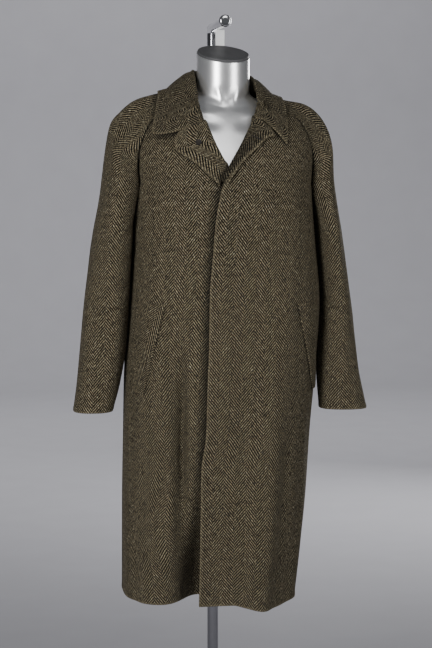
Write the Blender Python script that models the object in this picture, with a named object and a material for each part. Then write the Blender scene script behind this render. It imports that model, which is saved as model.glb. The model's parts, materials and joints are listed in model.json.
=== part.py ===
"""Tweed overcoat with raglan sleeves, on a torso form and a stand.

Metres, +Z up. The front faces -Y and the wearer's right side is towards -X. The origin is on the
floor, at the centre of the base plate. Each panel of the coat is a grid of points on its outer face,
worked out from a few sections, which is then given the thickness of the cloth inwards.
"""
import math
from collections import namedtuple
from functools import lru_cache

import bpy
import numpy as np
from mathutils import Matrix, Vector
from mathutils.bvhtree import BVHTree

# Cloth
CLOTH = 0.0025             # thickness of the tweed
COLLAR_CLOTH = 0.0030      # the collar is two layers and an interlining
SEAM = 0.0005              # gap between two panels along a seam
NECK_EASE = 0.0008         # more room at the top of the raglan seams, where they bend most
LIE = 0.0009               # gap under a piece that lies on a panel
UNDER = 0.0050             # how far the under front lies inside the over front
UNDER_RUN = 0.035          # width over which the under front sinks to that depth

# Heights of the coat
HEM = 0.440
UNDERARM = 1.335
FRONT_TOP = 1.485
BACK_TOP = 1.535

# Grid of the coat: rows and columns of each panel
BODY_ROWS = 21
RAGLAN_ROWS = 8
FRONT_COLUMNS = 11
SIDE_COLUMNS = 3
BACK_COLUMNS = 14
SLEEVE_ROWS = 16
SLEEVE_QUARTER = 6         # columns in a quarter of the sleeve
COLLAR_STATIONS = 15       # stations from the back to each front end
FALL_COLUMNS = 5
LAPEL_ROWS = 12
LAPEL_COLUMNS = 5
WELT_ROWS = 8
WELT_COLUMNS = 3
NECK_BACK_STEPS = 4        # steps of the neck seam along the back, and over the top of the sleeve
NECK_TOP_STEPS = 6
SPREAD_STEPS = 120         # steps with which lengths round the body are measured
RING_STEP = 0.7            # degrees, for the direction of the body's ring
FACE_STEP = 0.6            # degrees, and the height, for the normal of the cloth
FACE_RISE = 0.004
SHARP_ANGLE = math.radians(50.0)

# Body sections: half-widths to the wearer's right and left, depths to the front and back, and how
# square each corner is (2 is an ellipse)
Section = namedtuple("Section", "z right left front back square_right square_left square_back")
BODY = (
    Section(0.440, 0.2255, 0.1620, 0.180, 0.127, 4.0, 1.6, 2.4),
    Section(0.640, 0.2245, 0.1840, 0.177, 0.128, 3.3, 1.8, 2.4),
    Section(0.800, 0.2215, 0.1930, 0.174, 0.127, 2.8, 2.0, 2.4),
    Section(0.925, 0.2110, 0.2030, 0.170, 0.125, 2.5, 2.2, 2.3),
    Section(1.080, 0.1985, 0.2050, 0.166, 0.123, 2.4, 2.3, 2.3),
    Section(1.210, 0.1900, 0.1960, 0.162, 0.127, 2.3, 2.3, 2.3),
    Section(1.335, 0.1900, 0.1880, 0.155, 0.138, 2.3, 2.3, 2.4),
    Section(1.400, 0.1900, 0.1850, 0.141, 0.139, 2.3, 2.3, 2.4),
    Section(1.440, 0.1800, 0.1740, 0.126, 0.132, 2.2, 2.2, 2.3),
    Section(1.485, 0.1350, 0.1350, 0.102, 0.114, 2.1, 2.1, 2.2),
    Section(1.535, 0.1100, 0.1100, 0.080, 0.093, 2.0, 2.0, 2.1),
)

# The raglan seams and the top of the shoulder, from the underarm (part 0) to the neck (part 1)
Raglan = namedtuple(
    "Raglan",
    "part front_x front_z back_x back_z top_right top_right_z top_left top_left_z",
)
RAGLAN = (
    Raglan(0.00, 0.169, 1.335, 0.161, 1.335, 0.2667, 1.343, 0.2450, 1.343),
    Raglan(0.20, 0.161, 1.372, 0.151, 1.385, 0.2580, 1.409, 0.2395, 1.412),
    Raglan(0.40, 0.148, 1.402, 0.137, 1.425, 0.2467, 1.464, 0.2290, 1.457),
    Raglan(0.60, 0.132, 1.428, 0.119, 1.460, 0.2244, 1.492, 0.2067, 1.492),
    Raglan(0.75, 0.116, 1.448, 0.103, 1.488, 0.1933, 1.516, 0.1756, 1.511),
    Raglan(0.90, 0.095, 1.470, 0.078, 1.518, 0.1400, 1.532, 0.1267, 1.520),
    Raglan(1.00, 0.080, FRONT_TOP, 0.062, BACK_TOP, 0.0780, 1.545, 0.0780, 1.535),
)
SHOULDER_Y = 0.005         # the top of the shoulder and sleeve
ARMPIT_TURN = 65.0         # degrees the sleeve turns out from the body at the armpit
ARMPIT_FADE = 0.7          # part of the raglan seam along which that turn dies out
SEAM_FULL = 1.25           # how full the sleeve leaves the raglan seams
CREST_FULL = 1.15          # and how full it passes over the shoulder
NECK_TOP_START = 0.85      # part of the sleeve's neck edge where the seam passes from the back to it

# Sleeve sections: the outer and inner sides across, and the front and back edges
Sleeve = namedtuple("Sleeve", "z outer inner front back")
SLEEVE_RIGHT = (
    Sleeve(0.842, 0.3330, 0.2467, 0.078, 0.030),
    Sleeve(0.903, 0.3244, 0.2300, 0.081, 0.044),
    Sleeve(0.991, 0.3156, 0.2150, 0.085, 0.061),
    Sleeve(1.079, 0.3067, 0.2095, 0.087, 0.073),
    Sleeve(1.145, 0.2978, 0.2060, 0.088, 0.080),
    Sleeve(1.211, 0.2889, 0.2015, 0.090, 0.085),
    Sleeve(1.277, 0.2780, 0.1975, 0.091, 0.090),
    Sleeve(1.335, 0.2667, 0.1955, 0.092, 0.094),
)
SLEEVE_LEFT = (
    Sleeve(0.840, 0.3190, 0.2133, 0.070, 0.030),
    Sleeve(0.925, 0.3000, 0.2215, 0.083, 0.050),
    Sleeve(0.997, 0.2889, 0.2225, 0.089, 0.066),
    Sleeve(1.079, 0.2800, 0.2185, 0.092, 0.078),
    Sleeve(1.145, 0.2710, 0.2130, 0.093, 0.084),
    Sleeve(1.211, 0.2620, 0.2070, 0.093, 0.088),
    Sleeve(1.277, 0.2530, 0.2005, 0.093, 0.092),
    Sleeve(1.335, 0.2450, 0.1960, 0.092, 0.094),
)
SLEEVE_SQUARE = 2.2
ARMHOLE_BLEND = 0.150      # height over which the sleeve rounds off below the armhole

# Front edges: the over front's edge, and the hidden edge of the under front
Edge = namedtuple("Edge", "z x")
OVER_EDGE = (
    Edge(0.440, -0.0760), Edge(0.640, -0.0720), Edge(0.886, -0.0676), Edge(1.000, -0.0630),
    Edge(1.100, -0.0560), Edge(1.167, -0.0476), Edge(1.255, -0.0370), Edge(1.310, -0.0270),
)
UNDER_EDGE = (
    Edge(0.440, -0.0250), Edge(0.900, -0.0050), Edge(1.200, 0.0200), Edge(1.300, 0.0180),
)

# Lapels: the roll line and the outer edge, from the gorge (part 0) to the foot (part 1)
Lapel = namedtuple("Lapel", "part roll_x roll_z edge_x edge_z")
LAPEL_RIGHT = (
    Lapel(0.00, -0.0565, 1.4635, -0.1090, 1.4365),
    Lapel(0.15, -0.0480, 1.4450, -0.1172, 1.4235),
    Lapel(0.30, -0.0395, 1.4270, -0.1165, 1.4080),
    Lapel(0.50, -0.0290, 1.4030, -0.0863, 1.3846),
    Lapel(0.70, -0.0195, 1.3820, -0.0604, 1.3626),
    Lapel(0.86, -0.0150, 1.3720, -0.0400, 1.3420),
    Lapel(1.00, -0.0120, 1.3640, -0.0310, 1.3300),
)
LAPEL_LEFT = (
    Lapel(0.00, 0.0530, 1.4750, 0.0830, 1.4490),
    Lapel(0.15, 0.0460, 1.4610, 0.0905, 1.4352),
    Lapel(0.30, 0.0370, 1.4465, 0.0745, 1.4300),
    Lapel(0.50, 0.0240, 1.4240, 0.0480, 1.4080),
    Lapel(0.70, 0.0110, 1.4010, 0.0240, 1.3880),
    Lapel(0.86, -0.0040, 1.3710, 0.0040, 1.3640),
    Lapel(1.00, -0.0190, 1.3370, -0.0150, 1.3335),
)
LAPEL_PUFF = 0.0030        # how far the middle of a lapel stands off the front
PUFF_RUN = 1.15            # the puff ends a little before the lapel's edge
ROLL_TURNS = tuple(math.radians(a) for a in (-30.0, 10.0, 50.0))   # points round the front's edge
ROLL_PROBE = 0.1           # part of the lapel that gives the direction away from the roll
NECK_CORNER = 0.070        # X of the fronts' neck edge at its top

# Collar: its fold and its outer edge, from the back (part 0) to the front end (part 1)
Collar = namedtuple("Collar", "part fold_x fold_y fold_z edge_x edge_y edge_z")
COLLAR_RIGHT = (
    Collar(0.00, 0.0000, 0.084, 1.578, 0.0000, 0.124, 1.508),
    Collar(0.25, 0.0430, 0.070, 1.583, 0.0880, 0.106, 1.516),
    Collar(0.45, 0.0620, 0.027, 1.585, 0.1400, 0.040, 1.524),
    Collar(0.62, 0.0650, -0.022, 1.566, 0.1520, -0.020, 1.514),
    Collar(0.80, 0.0640, -0.070, 1.524, 0.1600, -0.060, 1.480),
    Collar(1.00, 0.0570, -0.107, 1.469, 0.1660, -0.092, 1.442),
)
COLLAR_LEFT = (
    Collar(0.00, 0.0000, 0.084, 1.578, 0.0000, 0.124, 1.508),
    Collar(0.25, 0.0440, 0.069, 1.575, 0.0850, 0.104, 1.509),
    Collar(0.45, 0.0640, 0.027, 1.572, 0.1280, 0.040, 1.513),
    Collar(0.62, 0.0670, -0.022, 1.556, 0.1340, -0.020, 1.503),
    Collar(0.80, 0.0650, -0.066, 1.520, 0.1300, -0.066, 1.468),
    Collar(1.00, 0.0540, -0.101, 1.481, 0.1190, -0.112, 1.4176),
)
COLLAR_TURN = 0.006        # length of cloth rolled over on each side of the fold
TURN_SHARE = 0.4           # but no more than this part of the stand's height
TURN_DROP = 0.35           # drop of the roll's ends below its crest, as a part of that length
STAND_MIDDLE = 0.45        # part of the stand's height at which it has a row of points
NOTCH_FROM = 0.75          # part of the collar's length from which its front end dips
COLLAR_BULGE = 0.004       # how far the fall arches between its fold and its edge
COLLAR_CLEAR = 0.0040      # gap under the fall, which lies on several panels
COLLAR_INSET = 0.0062      # the stand's foot lies this far inside the neck edge
NOTCH_DIP_RIGHT = 0.010    # how far the right front end dips at the notch
NOTCH_DIP_LEFT = -0.004
GORGE_RISE = 0.006         # the collar's front ends sit this far above the lapels
FOOT_RISE = 0.0020         # and the foot of the stand this far above the neck edge

# Folds: heights, angles round the body (0 front, 90 the wearer's left, 180 back), half-width in
# degrees, depth (out is positive) and the part of its height at which it is deepest
Fold = namedtuple("Fold", "top bottom angle_top angle_bottom width depth peak")
FLY_DRAG = Fold(1.33, 1.22, 6.0, 1.0, 4.0, -0.004, 0.4)
RIGHT_FOLDS = (
    FLY_DRAG,
    Fold(0.75, 0.44, -3.0, -3.0, 17.0, -0.110, 1.0),
    Fold(1.14, 0.58, -33.0, -19.0, 6.0, -0.006, 0.5),
    Fold(0.90, 0.44, -62.0, -66.0, 9.0, -0.012, 1.0),
    Fold(1.25, 0.80, -52.0, -50.0, 9.0, 0.005, 0.5),
)
LEFT_FOLDS = (
    Fold(1.15, 0.44, 31.0, 25.0, 11.0, 0.030, 1.0),
    Fold(0.95, 0.44, 2.0, 3.0, 8.0, -0.007, 1.0),
    Fold(0.85, 0.44, 62.0, 60.0, 9.0, 0.012, 1.0),
    FLY_DRAG,
)
BACK_FOLDS = (
    Fold(0.98, 0.44, 150.0, 146.0, 9.0, 0.013, 1.0),
    Fold(0.86, 0.44, 172.0, 170.0, 8.0, -0.014, 1.0),
    Fold(1.02, 0.44, 198.0, 203.0, 9.0, 0.010, 1.0),
    Fold(0.90, 0.44, 226.0, 228.0, 8.0, -0.012, 1.0),
    Fold(0.80, 0.44, 124.0, 122.0, 8.0, -0.010, 1.0),
)

# Pocket welts: the front edge's ends, and the width of the welt
WELT_TOP = (0.1427, 1.078)
WELT_BOTTOM = (0.1850, 0.888)
WELT_WIDTH = 0.042
WELT_LIFT = 0.0008         # a welt stands this much prouder at its free edge

# Lapel button: its profile is in parts of its radius and height
BUTTON_AT = (-0.0753, 1.4297)
BUTTON_RADIUS = 0.0055
BUTTON_HEIGHT = 0.0028
BUTTON_SIDES = 20
Turn = namedtuple("Turn", "radius height")
BUTTON_PROFILE = (Turn(0.8, 0.0), Turn(1.0, 0.3), Turn(1.0, 0.7), Turn(0.8, 1.0), Turn(0.5, 0.8))

# Torso form: half-width, depths to front and back, and squareness
Torso = namedtuple("Torso", "z side front back square")
TORSO = (
    Torso(0.885, 0.158, 0.098, 0.098, 2.5),
    Torso(0.960, 0.164, 0.108, 0.106, 2.4),
    Torso(1.060, 0.152, 0.105, 0.094, 2.3),
    Torso(1.140, 0.147, 0.108, 0.092, 2.3),
    Torso(1.240, 0.158, 0.120, 0.104, 2.3),
    Torso(1.330, 0.168, 0.124, 0.116, 2.3),
    Torso(1.400, 0.176, 0.106, 0.114, 2.3),
    Torso(1.450, 0.178, 0.086, 0.100, 2.2),
    Torso(1.490, 0.160, 0.070, 0.084, 2.0),
    Torso(1.518, 0.128, 0.060, 0.074, 1.75),
    Torso(1.527, 0.092, 0.058, 0.070, 1.75),
    Torso(1.534, 0.066, 0.057, 0.066, 1.9),
    Torso(1.556, 0.060, 0.0565, 0.061, 2.0),
    Torso(1.620, 0.0578, 0.0585, 0.0585, 2.0),
)
TORSO_ROWS = 14
SHOULDER_FOOT = 1.450
SHOULDER_ROWS = 12
NECK_ROWS = 3
TORSO_SIDES = 32
TORSO_LEAN = math.radians(2.8)   # the form hangs a little down to the wearer's left
SHOULDER_REST = 0.0022           # room between the form's shoulders and the cloth on them
SHOULDER_BAND = (1.38, 1.530)    # heights over which the form is fitted under the cloth
NECK_FOOT = 1.555                # the lean and the cut of the neck meet here
NECK_TOP = 1.620
NECK_CUT = math.tan(math.radians(20.0))    # the top of the neck slopes to the front
NECK_ROLL = math.tan(math.radians(5.0))    # and down to the wearer's left
CAP_RADIUS = 0.0565
CAP_HEIGHT = 0.005
CAP_ROUND = 0.0015

# Stand
GAP = 0.0003
NEAR_PANEL = 0.03          # how near a panel a point must be to be moved clear of it
BASE_RADIUS = 0.210
BASE_HEIGHT = 0.008
BASE_ROUND = 0.003
BASE_SIDES = 64
POLE_AT = (0.0, 0.166)
POLE_RADIUS = 0.0125
TUBE_SIDES = 24
SOCKET_RADIUS = 0.020
SOCKET_HEIGHT = 0.045
ARM_Z = 1.686
ARM_RADIUS = 0.0110
ARM_BACK = 0.184
ARM_FRONT = -0.016
KNOB_RADIUS = 0.0135
KNOB_LENGTH = 0.022
KNOB_PROFILE = (Turn(0.89, 0.0), Turn(1.0, 0.23), Turn(1.0, 0.77), Turn(0.89, 0.93), Turn(0.6, 1.0))
BAR_SIZE = (0.020, 0.004)
BAR_AT = (0.003, 0.0685)
BAR_FOOT = 1.490

# Colours (linear), roughness and metal
Finish = namedtuple("Finish", "colour roughness metal")
TWEED = Finish((0.075, 0.058, 0.034), 0.92, 0.0)
HORN = Finish((0.018, 0.013, 0.009), 0.45, 0.0)
SILVER = Finish((0.62, 0.62, 0.63), 0.34, 0.9)
DARK_CAP = Finish((0.035, 0.036, 0.038), 0.6, 0.0)
CHROME = Finish((0.78, 0.78, 0.79), 0.12, 1.0)
WHITE_BAR = Finish((0.72, 0.72, 0.72), 0.4, 0.0)
STEEL = Finish((0.45, 0.45, 0.46), 0.4, 1.0)


def clear_scene():
    """Remove every object that the scene already holds."""
    for thing in list(bpy.data.objects):
        bpy.data.objects.remove(thing, do_unlink=True)


def smooth(xs, ys, x):
    """Value at x on a curve through the points that never overshoots them."""
    step = np.diff(xs)
    slope = np.diff(ys) / step
    tangent = np.empty(len(ys))
    tangent[0], tangent[-1] = slope[0], slope[-1]
    for i in range(1, len(ys) - 1):
        same_way = slope[i - 1] * slope[i] > 0
        tangent[i] = 2 / (1 / slope[i - 1] + 1 / slope[i]) if same_way else 0.0
    x = min(max(x, xs[0]), xs[-1])
    i = min(max(int(np.searchsorted(xs, x)) - 1, 0), len(step) - 1)
    t = (x - xs[i]) / step[i]
    start = (1 + 2 * t) * (1 - t) ** 2 * ys[i] + t * (1 - t) ** 2 * step[i] * tangent[i]
    end = t * t * (3 - 2 * t) * ys[i + 1] + t * t * (t - 1) * step[i] * tangent[i + 1]
    return float(start + end)


def ease(t):
    """Soft step from 0 to 1."""
    t = min(max(t, 0.0), 1.0)
    return t * t * (3 - 2 * t)


def table_row(table, at):
    """A row of a table worked out at a value of its first column."""
    kind = type(table[0])
    keys = [row[0] for row in table]
    return kind(at, *(smooth(keys, [row[i] for row in table], at) for i in range(1, len(kind._fields))))


@lru_cache(maxsize=None)
def section(z):
    """Body section at a height."""
    return table_row(BODY, z)


def squared(value, power):
    """Signed power, for a superellipse."""
    return math.copysign(abs(value) ** power, value)


def ring_point(angle, z):
    """Point of the plain body ring at an angle in degrees."""
    s = section(round(z, 5))
    across, along = math.sin(math.radians(angle)), math.cos(math.radians(angle))
    width = s.left if across > 0 else s.right
    depth = s.front if along > 0 else s.back
    front_square = s.square_left if across > 0 else s.square_right
    power = 2 / (front_square if along > 0 else s.square_back)
    return Vector((width * squared(across, power), -depth * squared(along, power), z))


def ring_outward(angle, z):
    """Level direction out of the ring."""
    along = ring_point(angle + RING_STEP, z) - ring_point(angle - RING_STEP, z)
    return Vector((along.y, -along.x, 0.0)).normalized()


def front_angle(x, z):
    """Angle at which the front of the ring has this X."""
    s = section(round(z, 5))
    width, square = (s.left, s.square_left) if x > 0 else (s.right, s.square_right)
    return math.copysign(math.degrees(math.asin(min(1.0, (abs(x) / width) ** (square / 2)))), x)


def back_angle(x, z):
    """Angle at which the back of the ring has this X."""
    s = section(round(z, 5))
    width = s.left if x > 0 else s.right
    turn = math.degrees(math.asin(min(1.0, (abs(x) / width) ** (s.square_back / 2))))
    return 180.0 - math.copysign(turn, x)


def fold_shift(folds, angle, z):
    """How far the folds move the cloth out at a point of the ring."""
    total = 0.0
    for fold in folds:
        part = min((fold.top - z) / (fold.top - fold.bottom), 1.0)
        if part <= 0.0:
            continue
        rising = part <= fold.peak
        strength = ease(part / fold.peak) if rising else ease((1 - part) / (1 - fold.peak))
        centre = fold.angle_top + (fold.angle_bottom - fold.angle_top) * part
        total += fold.depth * strength * math.exp(-(((angle - centre) / fold.width) ** 2))
    return total


def over_edge_x(z):
    """X of the over front's edge, which runs into its lapel's roll line."""
    rows = OVER_EDGE + tuple(Edge(row.roll_z, row.roll_x) for row in reversed(LAPEL_LEFT))
    rows += (Edge(FRONT_TOP, NECK_CORNER),)
    return table_row(rows, z).x


def under_edge_x(z):
    """X of the under front's edge, which runs into its lapel's roll line."""
    rows = UNDER_EDGE + tuple(Edge(row.roll_z, row.roll_x) for row in reversed(LAPEL_RIGHT))
    rows += (Edge(FRONT_TOP, -NECK_CORNER),)
    return table_row(rows, z).x


def right_point(angle, z, lift=0.0):
    """Outer face of the under front, which sinks below the over front's edge."""
    covered = ring_point(angle, z).x - (over_edge_x(z) - UNDER_RUN)
    sunk = UNDER * ease(covered / UNDER_RUN)
    return ring_point(angle, z) + ring_outward(angle, z) * (
        lift - sunk + fold_shift(RIGHT_FOLDS, angle, z))


def left_point(angle, z, lift=0.0):
    """Outer face of the over front."""
    return ring_point(angle, z) + ring_outward(angle, z) * (lift + fold_shift(LEFT_FOLDS, angle, z))


def back_point(angle, z, lift=0.0):
    """Outer face of the back."""
    return ring_point(angle, z) + ring_outward(angle, z) * (lift + fold_shift(BACK_FOLDS, angle, z))


def face_normal(face, angle, z):
    """Normal of a body face, out of the coat."""
    across = face(angle + FACE_STEP, z) - face(angle - FACE_STEP, z)
    up = face(angle, z + FACE_RISE) - face(angle, z - FACE_RISE)
    return across.cross(up).normalized()


def spread(start, end, z, count):
    """Angles from start to end that are evenly spaced along the ring."""
    fine = np.linspace(start, end, SPREAD_STEPS + 1)
    points = [ring_point(angle, z) for angle in fine]
    steps = [(b - a).length for a, b in zip(points, points[1:])]
    length = np.concatenate(([0.0], np.cumsum(steps)))
    return list(np.interp(np.linspace(0.0, length[-1], count + 1), length, fine))


def drawn_in(angle, towards, z, distance):
    """An angle moved along the ring by a distance, towards another angle."""
    step = math.copysign(1.0, towards - angle)
    reach = (ring_point(angle + step, z) - ring_point(angle, z)).length
    return angle + step * distance / reach


def material(name, finish):
    """Plain material of one piece."""
    made = bpy.data.materials.new(name)
    made.use_nodes = True
    shader = made.node_tree.nodes["Principled BSDF"]
    shader.inputs["Base Color"].default_value = (*finish.colour, 1.0)
    shader.inputs["Roughness"].default_value = finish.roughness
    shader.inputs["Metallic"].default_value = finish.metal
    return made


def add_object(name, points, faces, finish, place=Matrix.Identity(4)):
    """A named mesh object with a material, at its place."""
    mesh = bpy.data.meshes.new(name)
    mesh.from_pydata([tuple(p) for p in points], [], faces)
    mesh.validate()
    mesh.shade_smooth()
    mesh.set_sharp_from_angle(angle=SHARP_ANGLE)
    mesh.materials.append(material(name, finish))
    made = bpy.data.objects.new(name, mesh)
    made.matrix_world = place
    bpy.context.scene.collection.objects.link(made)
    return made


def gathered(name, pieces):
    """An empty at the origin that carries the pieces."""
    holder = bpy.data.objects.new(name, None)
    bpy.context.scene.collection.objects.link(holder)
    for piece in pieces:
        piece.parent = holder
    return holder


def shell(name, points, normals, quads, thickness, finish):
    """A sheet of cloth: the outer points, the same points moved in, and the edges between them."""
    count = len(points)
    inner = [p - n * thickness for p, n in zip(points, normals)]
    faces = [tuple(quad) for quad in quads]
    faces += [tuple(i + count for i in reversed(quad)) for quad in quads]
    edges = {}
    for quad in quads:
        for a, b in zip(quad, quad[1:] + quad[:1]):
            edges[(a, b)] = True
    faces += [(b, a, a + count, b + count) for a, b in edges if (b, a) not in edges]
    return add_object(name, list(points) + inner, faces, finish)


def grid_quads(rows, columns, keep=None):
    """Quads of a grid, row by row, or only those that keep allows."""
    across = columns + 1
    return [
        (r * across + c, r * across + c + 1, (r + 1) * across + c + 1, (r + 1) * across + c)
        for r in range(rows) for c in range(columns) if keep is None or keep(r, c)
    ]


def used_only(points, normals, quads):
    """Drop the points that no quad uses."""
    order = sorted({i for quad in quads for i in quad})
    place = {old: new for new, old in enumerate(order)}
    return (
        [points[i] for i in order],
        [normals[i] for i in order],
        [tuple(place[i] for i in quad) for quad in quads],
    )


def grid_normals(points, quads):
    """Normals of a sheet from its faces."""
    sums = [Vector() for _ in points]
    for quad in quads:
        a, b, c, d = (points[i] for i in quad)
        normal = (c - a).cross(d - b)
        for i in quad:
            sums[i] += normal
    return [n.normalized() for n in sums]


def body_heights():
    """Heights of the body's rows up to the underarm."""
    return list(np.linspace(HEM, UNDERARM, BODY_ROWS + 1))


def raglan_rows():
    """Rows of the raglan table, from the underarm to the neck."""
    return [table_row(RAGLAN, k / RAGLAN_ROWS) for k in range(RAGLAN_ROWS + 1)]


def build_front(name, side, face, edge_x):
    """One front: from its edge to the side seam, and above the underarm to the raglan seam."""
    start = raglan_rows()[0]
    armpit = front_angle(side * start.front_x, UNDERARM)
    columns = FRONT_COLUMNS + SIDE_COLUMNS
    angles, heights = [], []
    for z in body_heights():
        edge = front_angle(edge_x(z), z)
        seam = drawn_in(side * 90.0, 0.0, z, SEAM / 2)
        angles.append(spread(edge, armpit, z, FRONT_COLUMNS) + spread(armpit, seam, z, SIDE_COLUMNS)[1:])
        heights.append(z)
    for row in raglan_rows()[1:]:
        z = row.front_z
        edge = front_angle(edge_x(z), z)
        seam = drawn_in(front_angle(side * row.front_x, z), edge, z, SEAM / 2)
        angles.append(spread(edge, seam, z, FRONT_COLUMNS) + [seam] * SIDE_COLUMNS)
        heights.append(z)
    points = [face(a, z) for z, row in zip(heights, angles) for a in row]
    normals = [face_normal(face, a, z) for z, row in zip(heights, angles) for a in row]
    quads = grid_quads(
        len(heights) - 1, columns, lambda r, c: r < BODY_ROWS or c < FRONT_COLUMNS)
    if side < 0:
        quads = [tuple(reversed(quad)) for quad in quads]
    return shell(name, *used_only(points, normals, quads), CLOTH, TWEED)


def build_back():
    """The back: from side seam to side seam, and above the underarm between the raglan seams."""
    start = raglan_rows()[0]
    armpits = [back_angle(side * start.back_x, UNDERARM) for side in (1, -1)]
    columns = BACK_COLUMNS + 2 * SIDE_COLUMNS
    angles, heights = [], []
    for z in body_heights():
        left = drawn_in(90.0, 180.0, z, SEAM / 2)
        right = drawn_in(270.0, 180.0, z, SEAM / 2)
        angles.append(
            spread(left, armpits[0], z, SIDE_COLUMNS)
            + spread(armpits[0], armpits[1], z, BACK_COLUMNS)[1:]
            + spread(armpits[1], right, z, SIDE_COLUMNS)[1:])
        heights.append(z)
    for row in raglan_rows()[1:]:
        z = row.back_z
        left, right = (
            drawn_in(back_angle(side * row.back_x, z), 180.0, z, SEAM / 2) for side in (1, -1))
        angles.append([left] * SIDE_COLUMNS + spread(left, right, z, BACK_COLUMNS) + [right] * SIDE_COLUMNS)
        heights.append(z)
    points = [back_point(a, z) for z, row in zip(heights, angles) for a in row]
    normals = [face_normal(back_point, a, z) for z, row in zip(heights, angles) for a in row]
    quads = grid_quads(
        len(heights) - 1, columns,
        lambda r, c: r < BODY_ROWS or SIDE_COLUMNS <= c < SIDE_COLUMNS + BACK_COLUMNS)
    return shell("back", *used_only(points, normals, quads), CLOTH, TWEED)


def seam_ends(side, row):
    """The raglan seam's front and back points on a row, the top point, and the body's direction."""
    front_at = front_angle(side * row.front_x, row.front_z)
    back_at = back_angle(side * row.back_x, row.back_z)
    lift = LIE if row.part == 0 else 0.0
    face = left_point if side > 0 else right_point
    front = face(front_at, row.front_z, lift)
    back = back_point(back_at, row.back_z, lift)
    across, z = (row.top_left, row.top_left_z) if side > 0 else (row.top_right, row.top_right_z)
    top = Vector((side * across, SHOULDER_Y, z))
    turn = math.radians(ARMPIT_TURN) * (1 - ease(row.part / ARMPIT_FADE))
    leaving = []
    for angle, height, way in ((front_at, row.front_z, side), (back_at, row.back_z, -side)):
        along = (ring_point(angle + way, height) - ring_point(angle, height)).normalized()
        leaving.append(along * math.cos(turn) + ring_outward(angle, height) * math.sin(turn))
    return front, top, back, leaving


def hermite(a, b, start, end, t):
    """Point on the curve from a to b with these tangents."""
    return (
        a * ((1 + 2 * t) * (1 - t) ** 2) + start * (t * (1 - t) ** 2)
        + b * (t * t * (3 - 2 * t)) + end * (t * t * (t - 1)))


def shoulder_arc(side, row, t):
    """Point of the sleeve over the shoulder: t is 0 at the front seam, 0.5 on top, 1 at the back."""
    front, top, back, leaving = seam_ends(side, row)
    over = Vector((back.x - front.x, back.y - front.y, 0.0)).normalized()
    if t <= 0.5:
        reach = (top - front).length
        return hermite(front, top, leaving[0] * reach * SEAM_FULL, over * reach * CREST_FULL, 2 * t)
    reach = (top - back).length
    return hermite(top, back, over * reach * CREST_FULL, -leaving[1] * reach * SEAM_FULL, 2 * t - 1)


def sleeve_ring(table, side, z, t):
    """Point of the hanging sleeve: t runs from the front over the outer side, the back and the inside."""
    s = table_row(table, z)
    turn = math.pi * t
    power = 2 / SLEEVE_SQUARE
    across = (s.outer + s.inner) / 2 + (s.outer - s.inner) / 2 * squared(math.sin(turn), power)
    along = (s.back - s.front) / 2 - (s.back + s.front) / 2 * squared(math.cos(turn), power)
    return Vector((side * across, along, z))


def armhole_ring(side, t):
    """Sleeve at the armhole: over the shoulder's lowest row, then along the body's side."""
    row = raglan_rows()[0]
    if t <= 1.0:
        return shoulder_arc(side, row, t)
    ends = [back_angle(side * row.back_x, UNDERARM), front_angle(side * row.front_x, UNDERARM)]
    ends = [angle - 360.0 if angle > 180.0 else angle for angle in ends]
    angle = ends[0] + (ends[1] - ends[0]) * (t - 1.0)
    return ring_point(angle, UNDERARM) + ring_outward(angle, UNDERARM) * LIE


def sleeve_point(table, side, z, t):
    """Point of the sleeve below the armhole, where it rounds off from the armhole's shape."""
    share = ease((UNDERARM - z) / ARMHOLE_BLEND)
    hanging = sleeve_ring(table, side, z, t)
    if share >= 1.0:
        return hanging
    armhole = armhole_ring(side, t)
    here, there = table_row(table, z), table_row(table, UNDERARM)
    drift = side * ((here.outer + here.inner) - (there.outer + there.inner)) / 2
    carried = armhole + Vector((drift, 0.0, z - UNDERARM))
    return carried.lerp(hanging, share)


def build_sleeve(word, side, table):
    """A sleeve of two panels, seamed along the top and along the inside."""
    around = 4 * SLEEVE_QUARTER
    over = 2 * SLEEVE_QUARTER
    points = []
    for z in np.linspace(table[0].z, UNDERARM, SLEEVE_ROWS + 1):
        points += [sleeve_point(table, side, z, 2.0 * j / around) for j in range(around)]
    first_upper = len(points)
    for row in raglan_rows()[1:]:
        points += [shoulder_arc(side, row, j / over) for j in range(over + 1)]

    def lower(r, c):
        return r * around + c % around

    def upper(r, c):
        return lower(SLEEVE_ROWS, c) if r == 0 else first_upper + (r - 1) * (over + 1) + c

    cells = [(c, (lower(r, c), lower(r, c + 1), lower(r + 1, c + 1), lower(r + 1, c)))
             for r in range(SLEEVE_ROWS) for c in range(around)]
    cells += [(c, (upper(r, c), upper(r, c + 1), upper(r + 1, c + 1), upper(r + 1, c)))
              for r in range(RAGLAN_ROWS) for c in range(over)]
    if side < 0:
        cells = [(c, tuple(reversed(quad))) for c, quad in cells]
    normals = grid_normals(points, [quad for _, quad in cells])
    top, inside = SLEEVE_QUARTER, 3 * SLEEVE_QUARTER
    in_front = {c for c in range(around) if c < top or c >= inside}
    made = []
    for half, columns in (("front", in_front), ("back", set(range(around)) - in_front)):
        own = list(points)
        inward = -1 if half == "front" else 1
        pulls = [(lower(r, end), lower(r, end + way), SEAM / 2)
                 for r in range(SLEEVE_ROWS + 1)
                 for end, way in ((top, inward), (inside, -inward))]
        pulls += [(upper(r, top), upper(r, top + inward), SEAM / 2) for r in range(1, RAGLAN_ROWS + 1)]
        edge, next_in = (0, 1) if half == "front" else (over, over - 1)
        pulls += [(upper(r, edge), upper(r, next_in), SEAM / 2 + NECK_EASE * (r / RAGLAN_ROWS) ** 2)
                  for r in range(1, RAGLAN_ROWS + 1)]
        for i, towards, distance in pulls:
            own[i] = points[i] + (points[towards] - points[i]).normalized() * distance
        quads = [quad for c, quad in cells if c in columns]
        made.append(shell(f"sleeve_{word}_{half}", *used_only(own, normals, quads), CLOTH, TWEED))
    return made


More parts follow.
